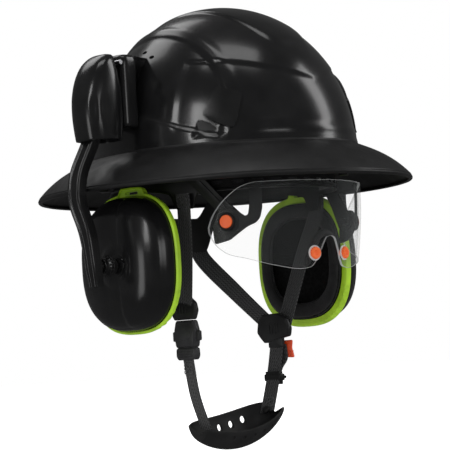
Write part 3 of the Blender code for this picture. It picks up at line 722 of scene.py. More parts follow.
def shell_relief(x, y, z):
    """How far the dome's surface stands out from a plain ellipsoid."""
    crown = 1 - ((abs(x) / 31) ** 4 + (abs(y) / 93) ** 4) ** 0.25
    out = 1.5 * smooth(crown / 0.12) - 0.7
    panel = 1 - math.hypot((y - 15) / 96, (z - 55) / 75)
    skirt = z - (60.7 + 0.35 * y)
    within = smooth(panel * 75 / 3.5) * smooth(skirt / 5) * smooth((74 - y) / 5)
    out -= 1.9 * within
    out += 0.6 * bead((panel * 75 + 3.0) / 3.2) * smooth(skirt / 6) * smooth((74 - y) / 6)
    brow = 84 + 0.25 * abs(x) - z
    out -= 1.0 * smooth(brow / 4) * smooth((-38 - y) / 8) * smooth((z - 40) / 8)
    half_x, half_y = dome_half(z)
    if half_x > 1 and y < 0:
        around = AROUND * math.degrees(math.atan2(abs(x) / half_x, -y / half_y))
        pocket = inside(COVER, around, z)
        out -= 2.4 * smooth((pocket + 2.6) / 1.8)
        out += 0.9 * bead((pocket + 4.4) / 2.2)
        out -= 0.9 * smooth((inside(FACET, around, z) + 1.2) / 3.0) * smooth((-pocket - 3.4) / 2.0)
    return out


def ellipse(half_x, half_y, z, steps):
    """A level ring of points round the Z axis."""
    return [Vector((half_x * math.cos(math.tau * i / steps), half_y * math.sin(math.tau * i / steps), z))
            for i in range(steps)]


def brim_ring(share, lower, steps):
    """A ring of the drooping brim; share runs from the dome's foot (0) to the edge (1)."""
    half_x = DOME_X + share * (BRIM_X - DOME_X)
    half_y = DOME_Y + share * (BRIM_Y - DOME_Y)
    z = DOME_BASE - BRIM_DROP * (0.62 * share + 0.38 * share ** 3)
    return ellipse(half_x, half_y, z - lower, steps)


def helmet_shell():
    """Dome, brim with its rolled lip, and the plain inside."""
    steps, levels = 400, 118
    dome = []
    for k in range(levels):
        lift = math.radians(0.6 + 88.6 * k / (levels - 1))
        z = DOME_BASE + DOME_HEIGHT * math.sin(lift)
        ring = []
        for i in range(steps):
            turn = math.tau * i / steps
            spot = Vector((DOME_X * math.cos(lift) * math.cos(turn),
                           DOME_Y * math.cos(lift) * math.sin(turn), z))
            away = Vector((spot.x / DOME_X ** 2, spot.y / DOME_Y ** 2,
                           (z - DOME_BASE) / DOME_HEIGHT ** 2)).normalized()
            ring.append(spot + away * shell_relief(*spot) * smooth(k / 3))
        dome.append(ring)
    lip = [(0.975, -0.1), (0.985, -0.5)]
    outer = [brim_ring(share, -up, steps) for share, up in lip]
    brim = [brim_ring(0.012 + 0.963 * k / 26, 0, steps) for k in range(27)] + outer
    edge_z = outer[-1][0].z
    for k in range(1, 9):
        turn = math.radians(90 - 30 * k)
        out, up = 1.9 * math.cos(turn), 1.9 * math.sin(turn)
        brim.append(ellipse(BRIM_X - 1.9 + out, BRIM_Y - 1.9 + out, edge_z - 1.6 + up, steps))
    under = [brim_ring(0.955 - 0.955 * k / 14, WALL, steps) for k in range(15)]
    inner = []
    for k in range(1, 20):
        lift = math.radians(89 * k / 20)
        z = DOME_BASE + (DOME_HEIGHT - WALL) * math.sin(lift)
        inner.append(ellipse((DOME_X - WALL - 0.8) * math.cos(lift), (DOME_Y - WALL - 0.8) * math.cos(lift),
                             z - 0.8, steps))
    rings = list(reversed(dome)) + brim + under + inner
    whole = skin(rings)
    item = mesh_object("helmet_shell", [whole], [GLOSS, SATIN])
    for face in item.data.polygons:
        centre = face.center / MM
        reach = math.hypot(centre.x / (DOME_X + 0.9), centre.y / (DOME_Y + 0.9))
        inward = (Vector((centre.x, centre.y, 0)).dot(face.normal)) < 0
        face.material_index = 1 if reach > 1 or centre.z < DOME_BASE + 0.6 or inward else 0
    vents = []
    for side in (-1, 1):
        for height, angle in ((110.0, -2.0), (115.6, 6.4)):
            half_x, half_y = dome_half(height)
            turn = math.radians(angle)
            spot = Vector((side * half_x * math.cos(turn), half_y * math.sin(turn), height))
            out = Vector((side, 0, 0.9)).normalized()
            along = Vector((0, 1, 0.25)).normalized()
            up = out.cross(along).normalized()
            rings = []
            for depth in (-12, 12):
                rings.append([spot + out * depth + along * u * 2.9 + up * v * 1.7
                              for u, v in circle(1, 28)])
            vents.append(skin(rings, "flat"))
    carve(item, vents)
    finish_piece(item, "helmet", "shell", sharp=28)


def slot_covers():
    """Moulded black covers over the front accessory slots, each with a finger lip at its foot."""
    for side, word in SIDES:
        def place(u, v, depth):
            half_x, half_y = dome_half(v)
            turn = math.radians(u / AROUND)
            flat = Vector((side * math.sin(turn) * half_x, -math.cos(turn) * half_y, v))
            away = Vector((flat.x / DOME_X ** 2, flat.y / DOME_Y ** 2,
                           (v - DOME_BASE) / DOME_HEIGHT ** 2)).normalized()
            crown = 1.3 * smooth(inside(COVER, u, v) / 10) + 0.6 * bead((v - 47 - 0.35 * (u - 97)) / 3.2)
            return flat + away * (depth + crown * (depth > 0))
        outline = rounded_loop(COVER, 5.5, 7)
        sheet = plate(outline, [], place, (0.5, -2.4), frange(74, 111, 2.2), frange(40, 78, 2.2))
        piece("slot_cover_" + word, "helmet", sheet, [MOULDED], "slot_cover_" + word,
              bevel=0.6)


# ---------------------------------------------------------------- suspension

def band_shape(start, stop, half_x, half_y, section, steps):
    """A standing strip round an ellipse; section(degrees) lists (outwards, height) pairs."""
    rings = []
    for i in range(steps + 1):
        degrees = start + (stop - start) * i / steps
        c, s = math.cos(math.radians(degrees)), math.sin(math.radians(degrees))
        rings.append([Vector(((half_x + out) * c, (half_y + out) * s, z))
                      for out, z in section(degrees)])
    return skin(rings, "flat")


def lipped_section(wall, z0, z1, lip=1.6, proud=0.7):
    """A flat band whose two edges are rolled outwards."""
    outer = [(wall + proud, z0 + 0.3), (wall + proud, z0 + lip), (wall, z0 + lip + 0.9),
             (wall, z1 - lip - 0.9), (wall + proud, z1 - lip), (wall + proud, z1 - 0.3)]
    return [(0.3, z0)] + outer + [(0.3, z1), (0, z1 - 0.4), (0, z0 + 0.4)]


def headband():
    """The band: long slots in two rows, and a lobe at each side that the front webbing is sewn to."""
    edge = [(171, BAND_SIDE), (190, BAND_FRONT), (194, BAND_LOW), (202, BAND_LOW), (205, BAND_FRONT),
            (335, BAND_FRONT), (338, BAND_LOW), (346, BAND_LOW), (350, BAND_FRONT), (369, BAND_SIDE)]
    shapes = band_shape(135, 405, BAND_X, BAND_Y,
                        lambda degrees: lipped_section(2.0, reading(edge, degrees), BAND_HIGH), 270)
    slots = []
    for degrees in range(215, 326, 10):
        turn = math.radians(degrees)
        centre = Vector((BAND_X * math.cos(turn), BAND_Y * math.sin(turn), 0))
        along = Vector((-math.sin(turn), math.cos(turn), 0))
        out = Vector((math.cos(turn), math.sin(turn), 0))
        for z in (2.0, 10.0):
            outline = rounded_loop([(-5, -1.5), (5, -1.5), (5, 1.5), (-5, 1.5)], 1.4, 5)
            slots.append(prism(outline, lambda u, v, depth: centre + along * u + out * depth
                               + Vector((0, 0, z + v)), [(-6, 0), (6, 0)]))
    piece("headband", "helmet", shapes, [NYLON], "headband", cuts=slots)


def sweatband():
    """Foam and knit pad round the forehead, sewn into soft panels."""
    z0, z1 = BAND_FRONT + 2.2, BAND_HIGH - 4.2

    def section(degrees):
        crown = 0.55 + 0.45 * abs(math.sin(math.radians(degrees * 9)))
        return pill(-1.5, 1.05 * crown, z0, z1)

    shapes = band_shape(207, 333, BAND_X - 0.4, BAND_Y - 0.4, section, 120)
    item = mesh_object("sweatband", [shapes], [KNIT, THREAD])
    stuff(item, 1.7, 0.7)
    finish_piece(item, "helmet", "sweatband")
    hems = []
    for z in (z0 + 1.2, z1 - 1.2):
        path = []
        for k in range(64):
            turn = math.radians(208 + 124 * k / 63)
            path.append(Vector(((BAND_X - 3.2) * math.cos(turn), (BAND_Y - 3.2) * math.sin(turn), z)))
        for a, b in zip(path, path[1:]):
            hems += stitch_line(a, b, (-a.x, -a.y, 0), 0.3, 3.4)
    piece("sweatband_hem", "helmet", hems, [KNIT, THREAD], ())


def crown_straps():
    """Three webbing straps that cross over the head, each sewn to a plastic hanger at both ends."""
    shapes = []
    reach_x, reach_y = BAND_X + 1.0, BAND_Y + 1.0
    foot = BAND_HIGH + 1.0
    for number, degrees in enumerate((0, 60, 120)):
        angle = math.radians(degrees)
        flat = Vector((math.cos(angle) * reach_x, math.sin(angle) * reach_y, 0))
        across = Vector((-math.sin(angle), math.cos(angle), 0))
        path, ends = [], 40
        for k in range(-ends, ends + 1):
            turn = k / ends * math.pi / 2
            spot = flat * math.copysign(abs(math.sin(turn)) ** 0.92, turn)
            spot.z = foot + (CROWN_Z + 0.5 - foot) * math.cos(turn) ** 0.95 if abs(k) < ends else foot
            spot.z += 0.55 * number * smooth(1 - abs(k) / 12)
            path.append(spot)
        shapes.append(ribbon(path, across, 18.0, 1.2, 6, 0.2))
        for end in (-1, 1):
            spot = path[ends + end * (ends - 5)]
            along = path[ends + end * (ends - 4)] - path[ends + end * (ends - 6)]
            out = along.cross(across) * (-end)
            if out.dot(spot) < 0:
                out = -out
            shapes += stitch_box(spot + out.normalized() * 0.62, along, across, out, 10, 13)
    ring = ellipse(15.5, 15.5, CROWN_Z + 1.9, 40)
    for a, b in zip(ring, ring[1:] + ring[:1]):
        shapes += stitch_line(a, b, (0, 0, 1), 0.3)
    piece("crown_straps", "helmet", shapes, [WEBBING, THREAD], "crown_straps")


def crown_pad():
    """Round pad where the three straps cross, with piping round its edge."""
    top = high("crown_pad").z
    profile = [(20.5, top - 4.3), (22.2, top - 3.2), (21.8, top - 2.0), (15, top - 0.9), (5, top - 0.6)]
    shapes = turned(rounded_profile(profile, 2.0, 4), (0, 0, 0), (0, 0, 1), 64)
    item = mesh_object("crown_pad", [shapes], [KNIT])
    stuff(item, 1.6, 1.0)
    finish_piece(item, "helmet", "crown_pad")
    path = ellipse(21.9, 21.9, top - 2.6, 72)
    piece("crown_pad_piping", "helmet", tube(path, 0.7, 10, closed=True), [KNIT], ())


def hangers():
    """Keyed plastic hangers that plug the suspension into the shell."""
    for _, word in SIDES:
        for end in ("front", "rear"):
            node = "suspension_lug_%s_%s" % (end, word)
            centre = middle(node)
            out = Vector((centre.x, centre.y, 0)).normalized()
            along = Vector((-out.y, out.x, 0))

            def place(u, v, depth):
                return centre + along * u + out * depth + Vector((0, 0, v))
            body = rounded_loop([(-6, -9), (6, -9), (6, 5), (3.4, 9), (-3.4, 9), (-6, 5)], 1.8, 4)
            rib = rounded_loop([(-1.6, -7), (1.6, -7), (1.6, 6.5), (-1.6, 6.5)], 1.2, 4)
            shapes = [prism(body, place, [(-4.5, 1.2), (-4.1, 0.3), (-3.6, 0), (2.8, 0), (3.3, 0.5)]),
                      prism(rib, place, [(2.6, 0), (5.2, 0.1), (5.9, 0.8)])]
            for u in (-4.1, 4.1):
                grip = rounded_loop([(u - 0.7, -6), (u + 0.7, -6), (u + 0.7, 2), (u - 0.7, 2)], 0.6, 3)
                shapes.append(prism(grip, place, [(2.6, 0), (4.0, 0.1), (4.5, 0.4)]))
            slot = rounded_loop([(-4.2, -5.6), (4.2, -5.6), (4.2, -3.6), (-4.2, -3.6)], 0.9, 3)
            piece(node, "helmet", shapes, [NYLON], node,
                  cuts=[prism(slot, place, [(-8, 0), (1.2, 0)])])


def cradle_low(degrees):
    """Lower edge of the nape cradle."""
    return reading([(36, 1.5), (44, -20), (50, -42), (75, -40), (90, -36), (105, -40), (130, -42),
                    (136, -20), (144, 1.5)], degrees)


def cradle_high(degrees):
    """Upper edge of the nape cradle."""
    return reading([(38, 7.4), (46, 2), (54, -13), (90, -10), (126, -13), (134, 2), (142, 7.4)],
                   degrees)


def nape_cradle():
    """The band behind the head, deepest at the two places where the rear webbing is sewn on."""
    def section(degrees):
        return lipped_section(2.0, cradle_low(degrees), cradle_high(degrees), 1.4, 0.8)

    piece("nape_cradle", "nape_cradle", band_shape(22, 158, NAPE_X, NAPE_Y, section, 180), [NYLON],
          "nape_cradle")


def nape_pad():
    z0, z1 = low("nape_pad").z + 1.4, high("nape_pad").z - 1.4
    section = pill(-2.4, 1.4, z0, z1)
    pad = band_shape(70, 110, NAPE_X, NAPE_Y, lambda degrees: section, 50)
    item = mesh_object("nape_pad", [pad], [KNIT])
    stuff(item, 1.7, 0.9)
    finish_piece(item, "nape_cradle", "nape_pad")


def ratchet():
    """The size adjuster: a ribbed housing and a fluted wheel with a small boss at its middle."""
    a, b = low("ratchet_housing"), high("ratchet_housing")

    def place(u, v, depth):
        return Vector((u, depth - 0.9 * (u / 22) ** 2, v))
    outline = rounded_loop([(a.x + 5, a.z), (b.x - 5, a.z), (b.x, a.z + 7), (b.x, b.z - 7),
                            (b.x - 5, b.z), (a.x + 5, b.z), (a.x, b.z - 7), (a.x, a.z + 7)], 3.4, 5)
    shapes = [prism(outline, place, [(a.y, 0.8), (a.y + 0.8, 0), (b.y - 3, 0), (b.y - 1.1, 0.7),
                                     (b.y - 0.2, 2.2), (b.y, 4.4)])]
    for side in (-1, 1):
        for k in range(3):
            u = side * (13.6 + 2.5 * k)
            rib = rounded_loop([(u - 0.5, a.z + 7), (u + 0.5, a.z + 7), (u + 0.5, b.z - 7),
                                (u - 0.5, b.z - 7)], 0.4, 3)
            shapes.append(prism(rib, place, [(b.y - 2, 0), (b.y + 0.1, 0.1), (b.y + 0.4, 0.35)]))
    piece("ratchet_housing", "nape_cradle", shapes, [NYLON], "ratchet_housing")

    k0, k1 = low("ratchet_knob"), high("ratchet_knob")
    centre = Vector(((k0.x + k1.x) / 2, k0.y, (k0.z + k1.z) / 2))
    deep = k1.y - k0.y
    profile = rounded_profile([(4, 0), (11, 0), (15, 1.5), (15, deep - 2), (13, deep - 0.2),
                               (9.5, deep - 0.2), (8.5, deep - 1.6), (3, deep - 1.8)], 0.8, 4)
    wheel = turned(profile, centre, (0, 1, 0), 144, 18, 1.3, between=(1.0, deep - 1.2))
    tip = turned(rounded_profile([(0.5, deep - 2.4), (3.2, deep - 2.2), (3.2, deep - 0.6),
                                  (0.8, deep - 0.5)], 0.6, 3), centre, (0, 1, 0), 40)
    piece("ratchet_knob", "ratchet_knob", [wheel, tip], [RUBBER], "ratchet_knob")


# ---------------------------------------------------------------- ear muffs

def muff_adapter(side, word):
    """The block that plugs into the shell's side, with long grooves down its outer face."""
    z0, z1 = low("muff_adapter_" + word).z, high("muff_adapter_" + word).z
    levels = [(z0, 1.6), (z0 + 0.5, 0.5), (z0 + 1.6, 0)] + [(z0 + 4 + 3.4 * k, 0) for k in range(15)]
    levels += [(z1 - 3.2, 0.25), (z1 - 1.6, 1.0), (z1 - 0.5, 2.1), (z1, 3.6)]
    rings = []
    for z, inset in levels:
        near = dome_half(z)[0] - 3.0
        corner = max(near, ADAPTER_CORNER)
        far = ADAPTER_X - inset
        front, back = inset - ADAPTER_Y, ADAPTER_Y - inset
        fade = smooth((z - z0 - 3) / 4) * smooth((z1 - z - 3) / 4)
        ring = [(near, back), (near, 2.0), (corner, front + 3), (corner + 1.2, front + 0.8)]
        ring += [(corner + 3 + (far - corner - 8) * k / 6, front) for k in range(7)]
        for k in range(1, 6):
            turn = math.radians(18 * k)
            ring.append((far - 5 + 5 * math.sin(turn), front + 5 - 5 * math.cos(turn)))
        for k in range(1, 37):
            y = front + 5 + (back - 1 - front - 5) * k / 36
            groove = bead((y + 4.0) / 1.2) + bead((y - 1.0) / 1.2)
            ring.append((far - 0.9 * groove * fade, y))
        ring.append((far - 1, back))
        rings.append([Vector((side * x, y, z)) for x, y in ring])
    piece("muff_adapter_" + word, "helmet", skin(rings), [GLOSS], "muff_adapter_" + word,
          sharp=50)


def muff_hood(side, word):
    """A smooth domed hood, hollow and open below, with two soft flutes low on its outer face."""
    def level(z, half_x, half_y, centre):
        ring = []
        for i in range(96):
            turn = math.tau * i / 96
            c, s = math.cos(turn), math.sin(turn)
            flute = 0.8 * bead((z - 63) / 14) * (bead((turn - 5.55) / 0.3) + bead((turn - 4.95) / 0.28))
            x = centre + (half_x - flute) * bulge(c, 0.72)
            y = (half_y - flute) * bulge(s, 0.72)
            ring.append(Vector((side * x, y, z)))
        return ring

    outer = curve([(40.0, 16.2, 15.6, 133.6), (41.0, 17.0, 16.3, 133.8), (56, 18.3, 17, 134.4),
                   (70, 18.3, 17, 134.4), (80, 17, 16.8, 133.8), (88.4, 14.8, 16.2, 133),
                   (95, 12.4, 15.2, 131.8), (100, 10.0, 13.8, 130.4), (104.4, 7.2, 11.6, 128),
                   (107, 4.4, 8.2, 126), (107.8, 1.2, 2.5, 124.6)], 7)
    inner = curve([(104.5, 1.2, 2.5, 125), (100, 6, 9, 128), (90, 11.2, 13.6, 131),
                   (80, 13.4, 14.6, 132.2), (60, 14.4, 14.5, 133), (41, 14.6, 14.6, 133),
                   (40.0, 14.9, 14.9, 133)], 3)
    rings = [level(*row) for row in inner + outer]
    piece("muff_hood_" + word, "muff_frame_" + word, skin(rings), [GLOSS], "muff_hood_" + word,
          sharp=60)


def muff_arm(side, word):
    """A moulded arm: a channel towards the cup, two long ridges outside, and a web at its bend."""
    route = [(137.5, 2.5, 68), (137.8, 3, 54), (139.8, 4, 40), (148.5, 8.5, 18), (151.3, 10, 4),
             (151.3, 9.5, -10), (149.3, 2.2, -35), (146.7, -0.6, -74)]
    path = curve([(side * x, y, z) for x, y, z in route], 12)
    half, deep, wall = 6.0, 4.5, 2.0
    rings = []
    for i, point in enumerate(path):
        ahead = (path[min(i + 1, len(path) - 1)] - path[max(i - 1, 0)]).normalized()
        out = Vector((side, 0, 0))
        out = (out - ahead * out.dot(ahead)).normalized()
        wide = ahead.cross(out).normalized()
        left = len(path) - 1 - i
        taper = 1 - 0.22 * (1 - smooth(left / 5)) if left < 5 else 1.0
        swell = 1 + 0.10 * bead((point.z - 2) / 26) - 0.06 * bead((point.z + 52) / 20)
        across = half * taper * swell
        section = [(-across, -deep), (-across, deep - 2.2), (-across + 0.4, deep - 0.9),
                   (-across + 1.5, deep)]
        for k in range(1, 16):
            share = k / 16
            valley = 1.15 * smooth(math.sin(math.pi * share) * 1.6 - 0.35)
            section.append((-across + 1.5 + (2 * across - 3) * share, deep - valley))
        section += [(across - 1.5, deep), (across - 0.4, deep - 0.9), (across, deep - 2.2),
                    (across, -deep), (across - wall, -deep), (across - wall, deep - wall - 1),
                    (-across + wall, deep - wall - 1), (-across + wall, -deep)]
        rings.append([point + wide * a + out * b * (taper if b > 0 else 1) for a, b in section])
    shapes = [skin(rings, "flat")]
    web = [(146.6, 22), (144.0, 12), (143.2, 0), (144.2, -12), (146.6, -22)]
    web += [(149.5, -22), (151.0, 0), (149.5, 22)]
    shapes.append(prism(rounded_loop(web, 3, 4), lambda u, v, depth: Vector((side * u, depth, v)),
                        [(7.6, 0.6), (8.0, 0), (11.0, 0), (11.4, 0.6)]))
    piece("muff_arm_" + word, "muff_frame_" + word, shapes, [MOULDED], "muff_arm_" + word,
          sharp=40)


def muff_slider(side, word):
    """The boss that rides in the arm's channel: stepped collars and a fluted grip."""
    node = "muff_slider_" + word
    start = low(node).x if side > 0 else high(node).x
    profile = [(3, 0), (7.8, 0), (8.5, 0.8), (8.5, 2.0), (7.9, 2.4), (7.9, 2.9), (8.5, 3.3), (8.5, 4.6),
               (6.0, 5.6), (6.0, 8.6), (3.4, 9.2), (3.4, 16.2), (1, 16.2)]
    grip = turned(rounded_profile(profile, 0.45, 3), (start, PIVOT_Y, PIVOT_Z), (side, 0.02, 0), 120,
                  20, 0.5, between=(0.6, 4.9))
    piece(node, "muff_slider_" + word, grip, [MOULDED], node)


def cup_centre(grow):
    """Centre of an ear cup's ring: it moves to the pivot as the rings shrink."""
    share = max(0.0, (0.8 - grow) / 0.8)
    return CUP_Y + (PIVOT_Y - CUP_Y) * share, CUP_Z + (PIVOT_Z - CUP_Z) * share


def ear_cup(side, word):
    """Glossy cup: a domed back with a creased spine, a rolled foot and rings round its pivot."""
    outer = curve([(0, 1.0), (1.2, 1.004), (7, 0.985), (14, 0.925), (19, 0.81), (22.4, 0.62), (24, 0.36),
                   (24.3, 0.15), (24.3, 0.02)], 8)
    inner = curve([(22.0, 0.03), (21.5, 0.32), (20.2, 0.55), (17, 0.73), (12.5, 0.85), (6, 0.93),
                   (0, 0.955)], 3)
    outer = [Vector((p[0], p[1])) for p in outer]
    rings = []
    for number, (x, grow) in enumerate(list(inner) + list(outer)):
        ring = squircle(0, cup_centre(grow), CUP_HALF_Y * grow, CUP_HALF_Z * grow, CUP_POWER, 192)
        if number < len(inner):
            rings.append([Vector((side * (CUP_RIM_X + x), p.y, p.z)) for p in ring])
            continue
        shaped = []
        for p in ring:
            away = math.hypot(p.y - PIVOT_Y, p.z - PIVOT_Z)
            spine = (p.y + 5.5 - 0.10 * abs(p.z - PIVOT_Z)) / 1.6
            fade = smooth((away - 15) / 5) * smooth((0.985 - grow) / 0.05)
            sunk = 1.35 * smooth(spine) * fade
            boss = 0.75 * bead((away - 12.3) / 1.7) - 0.8 * bead((away - 9.2) / 1.5)
            boss += 0.35 * bead((away - 15.4) / 1.2)
            gutter = 0.5 * bead((grow - 0.955) / 0.02)
            shaped.append(Vector((side * (CUP_RIM_X + x - sunk + boss - gutter), p.y, p.z)))
        rings.append(shaped)
    piece("cup_shell_" + word, "ear_cup_" + word, skin(rings), [GLOSS], "cup_shell_" + word,
          sharp=60)


def cup_rim(side, word):
    """Lime snap ring with a slotted tab at the top and a run of small teeth at its lower front."""
    low_x, high_x = CUP_RIM_X - 4.6, CUP_RIM_X - 0.3
    section = [(low_x, 0.935), (low_x, 1.02), (low_x + 0.5, 1.034), (low_x + 1.5, 1.038),
               (high_x - 0.2, 1.052), (high_x + 0.8, 1.05), (high_x + 1.3, 1.04), (high_x + 1.3, 1.016),
               (high_x, 1.013), (high_x, 0.935)]
    rings = []
    for x, grow in section:
        ring = []
        for number, p in enumerate(squircle(side * x, (CUP_Y, CUP_Z), CUP_HALF_Y * grow,
                                            CUP_HALF_Z * grow, CUP_POWER, 320)):
            near_top = max(0.0, 1 - ((p.y - CUP_Y + 3) / 15.0) ** 4)
            lift = 4.6 * smooth(near_top * 1.6) if p.z > CUP_Z and grow > 0.99 else 0.0
            turn = 360 * number / 320
            tooth = 1.1 if grow > 1.02 and x < low_x + 2 and number % 8 < 4 and 200 < turn < 262 else 0
            away = Vector((0, p.y - CUP_Y, p.z - CUP_Z)).normalized()
            ring.append(p + Vector((0, 0, lift)) - away * tooth)
        rings.append(ring)
    top = CUP_Z + CUP_HALF_Z * 1.01
    slot = box_shape((side * 98 - 9, CUP_Y - 10, top + 0.9), (side * 98 + 9, CUP_Y + 4, top + 3.1), 0.9, 0)
    piece("cup_rim_" + word, "ear_cup_" + word, skin(rings, closed=True), [LIME], "cup_rim_" + word,
          sharp=48, cuts=[slot])


def cup_cushion(side, word):
    """Sealing ring: foam under leatherette, flat where it sits on the cup, with a welded seam."""
    face = CUP_RIM_X - 4.6 - 0.35
    section = [(-0.4, 0.885), (-1.2, 0.903), (-2.4, 0.908), (-3.4, 0.893), (-4.1, 0.86), (-4.4, 0.80),
               (-4.1, 0.745), (-3.4, 0.71), (-2.4, 0.69), (-1.2, 0.69), (-0.4, 0.71)]
    rings = [squircle(side * (face + x), (CUP_Y, CUP_Z), CUP_HALF_Y * grow, CUP_HALF_Z * grow,
                      CUP_POWER, 96) for x, grow in section]
    item = mesh_object("cup_cushion_" + word, [skin(rings, closed=True)], [SKIN])

    def keep(point):
        reach = min(max(abs(point.x), face - 4.9), face)
        return Vector((side * reach, point.y, point.z))
    stuff(item, 1.5, 1.0, keep)
    finish_piece(item, "ear_cup_" + word, "cup_cushion_" + word, sharp=80)
    seams = []
    for grow, x in ((0.913, -0.9), (0.685, -0.9)):
        path = squircle(side * (face + x), (CUP_Y, CUP_Z), CUP_HALF_Y * grow, CUP_HALF_Z * grow,
                        CUP_POWER, 120)
        seams.append(tube(path, 0.75, 8, closed=True))
    piece("cup_seam_" + word, "ear_cup_" + word, seams, [SKIN], ())


def cup_liner(side, word):
    """Sound-deadening foam that fills the cup, slightly dished and uneven."""
    rings = []
    for x, rise in ((CUP_RIM_X + 6.0, 0.0), (CUP_RIM_X - 1.0, 1.0)):
        scales = [0.86 * k / 14 for k in range(1, 15)]
        for grow in scales if rise == 0 else reversed(scales):
            ring = []
            for p in squircle(0, (CUP_Y, CUP_Z), CUP_HALF_Y * grow, CUP_HALF_Z * grow, CUP_POWER, 96):
                wave = 0.5 * math.sin(p.y * 0.55) * math.sin(p.z * 0.55) + 1.5 * (1 - grow / 0.86)
                soft = 1.6 * smooth((grow - 0.74) / 0.12)
                ring.append(Vector((side * (x + rise * (wave + soft)), p.y, p.z)))
            rings.append(ring)
    item = piece("cup_liner_" + word, "ear_cup_" + word, skin(rings), [FOAM], "cup_liner_" + word,
                 sharp=80)


# ---------------------------------------------------------------- visor

def lens_lean(z):
    """The lens tapers slightly towards its lower edge."""
    return 1 - 0.10 * (min(0.0, z) / 65.0) ** 2


def lens_point(degrees, z, inward=0.0):
    """A point of the lens's outer face; 0 degrees is the front and +90 the wearer's left."""
    lean = lens_lean(z)
    turn = math.radians(degrees)
    half_x = (LENS_X - inward) * (0.35 + 0.65 * lean)
    half_y = (LENS_Y - inward) * lean
    return Vector((half_x * math.sin(turn), LENS_BACK - half_y * math.cos(turn), z))


LENS_LOW = [(0, -43.5), (3, -44.6), (7, -53), (11, -63), (14.5, -67.4), (22, -68.5), (40, -65),
            (60, -58.5), (72, -55), (80, -50), (85, -44), (88, -37)]
LENS_HIGH = [(0, 0), (50, -0.5), (60, -3), (70, -10), (80, -20), (85, -27), (88, -33)]


def visor_lens():
    """One curved sheet with a polished edge whose faces are painted pale, a painted glint."""
    columns, rows, wall = 190, 26, LENS_WALL
    outer_rings = []
    for i in range(columns + 1):
        degrees = -88 + 176 * i / columns
        z0, z1 = reading(LENS_LOW, abs(degrees)), reading(LENS_HIGH, abs(degrees))
        levels = [z0 + (z1 - z0) * k / rows for k in range(rows + 1)]
        ring = [lens_point(degrees, levels[0], wall / 2) - Vector((0, 0, 0.35))]
        ring += [lens_point(degrees, z, 0.0) for z in levels]
        ring += [lens_point(degrees, levels[-1], wall / 2) + Vector((0, 0, 0.35))]
        ring += [lens_point(degrees, z, wall) for z in reversed(levels)]
        outer_rings.append(ring)
    lens = skin(outer_rings, "flat")
    item = mesh_object("visor_lens", [lens], [LENS, LENS_EDGE_GLINT])
    count = 2 * rows + 4
    for face in item.data.polygons:
        spots = [i % count for i in face.vertices]
        # edge faces take the pale paint: a painted glint
        edge = any(i in (0, rows + 2) for i in spots) or len(face.vertices) > 4
        face.material_index = 1 if edge else 0
    finish_piece(item, "visor", "visor_lens", sharp=50)


def sheet_place(side, inward):
    """Lays (millimetres round the lens, height) on a sheet behind the lens's outer face."""
    return lambda u, v, depth: lens_point(side * u / LENS_TURN, v, inward + depth)


def visor_bracket(side, word):
    """Black carrier behind the lens: a hooked leg up under the brim, and a pad round the button."""
    outline = [(63.5, 2), (74.5, 2), (75, -12), (75.6, -19), (77, -25), (80, -26), (83, -24),
               (90, -21), (97, -19.5), (104, -21), (112, -28), (116, -34), (115.5, -46), (103, -44.5),
               (97, -43.5), (86, -38), (78, -34), (70, -31.5), (66, -28), (63.5, -20)]
    place = sheet_place(side, BRACKET_IN)
    reach = frange(56, 118, 0.1)
    at = min(reach, key=lambda u: abs(lens_point(u / LENS_TURN, BUTTON.z, BRACKET_IN).y - BUTTON.y))
    button = circle(3.6, 32, (at, BUTTON.z))
    sheet = plate(rounded_loop(outline, 2.2, 4), [button], place, (0.0, 1.8), frange(64, 116, 2.0),
                  frange(-44, 2, 3.0))
    ring = circle(9.2, 40, (at, BUTTON.z))
    collar = plate(ring, [button], place, (0.4, -0.6), frange(88, 106, 2.0), [])
    piece("visor_bracket_" + word, "visor", [sheet, collar], [NYLON], "visor_bracket_" + word,
          bevel=0.35)


def visor_button(side, word):
    """Orange push button in a black ring, with its stud through lens, bracket and arm."""
    centre = Vector((side * BUTTON.x, BUTTON.y, BUTTON.z))
    stud = rounded_profile([(1.0, -13.2), (3.0, -13.2), (3.0, 3.2), (1.0, 3.2)], 0.4, 3)
    shapes = [turned(stud, centre, (side, 0, 0), 48, paint=1)]
    turn = math.acos((LENS_BACK - BUTTON.y) / (LENS_Y * lens_lean(BUTTON.z)))
    spot = lens_point(side * math.degrees(turn), BUTTON.z)
    out = Vector((side * math.sin(turn) * LENS_Y, -math.cos(turn) * LENS_X, 0)).normalized()
    head = rounded_profile([(1.0, 0.3), (5.3, 0.3), (5.3, 2.2), (4.5, 2.7), (3.2, 2.3), (0.6, 2.2)], 0.5, 4)
    shapes.append(turned(head, spot, out, 72, 36, 0.28, between=(0.8, 2.4)))
    ring = rounded_profile([(5.5, 0.3), (7.0, 0.3), (7.0, 1.3), (6.0, 1.8), (5.5, 1.4)], 0.3, 3)
    shapes.append(turned(ring, spot, out, 64, paint=1))
    piece("visor_button_" + word, "visor", shapes, [ORANGE, NYLON], "visor_button_" + word)


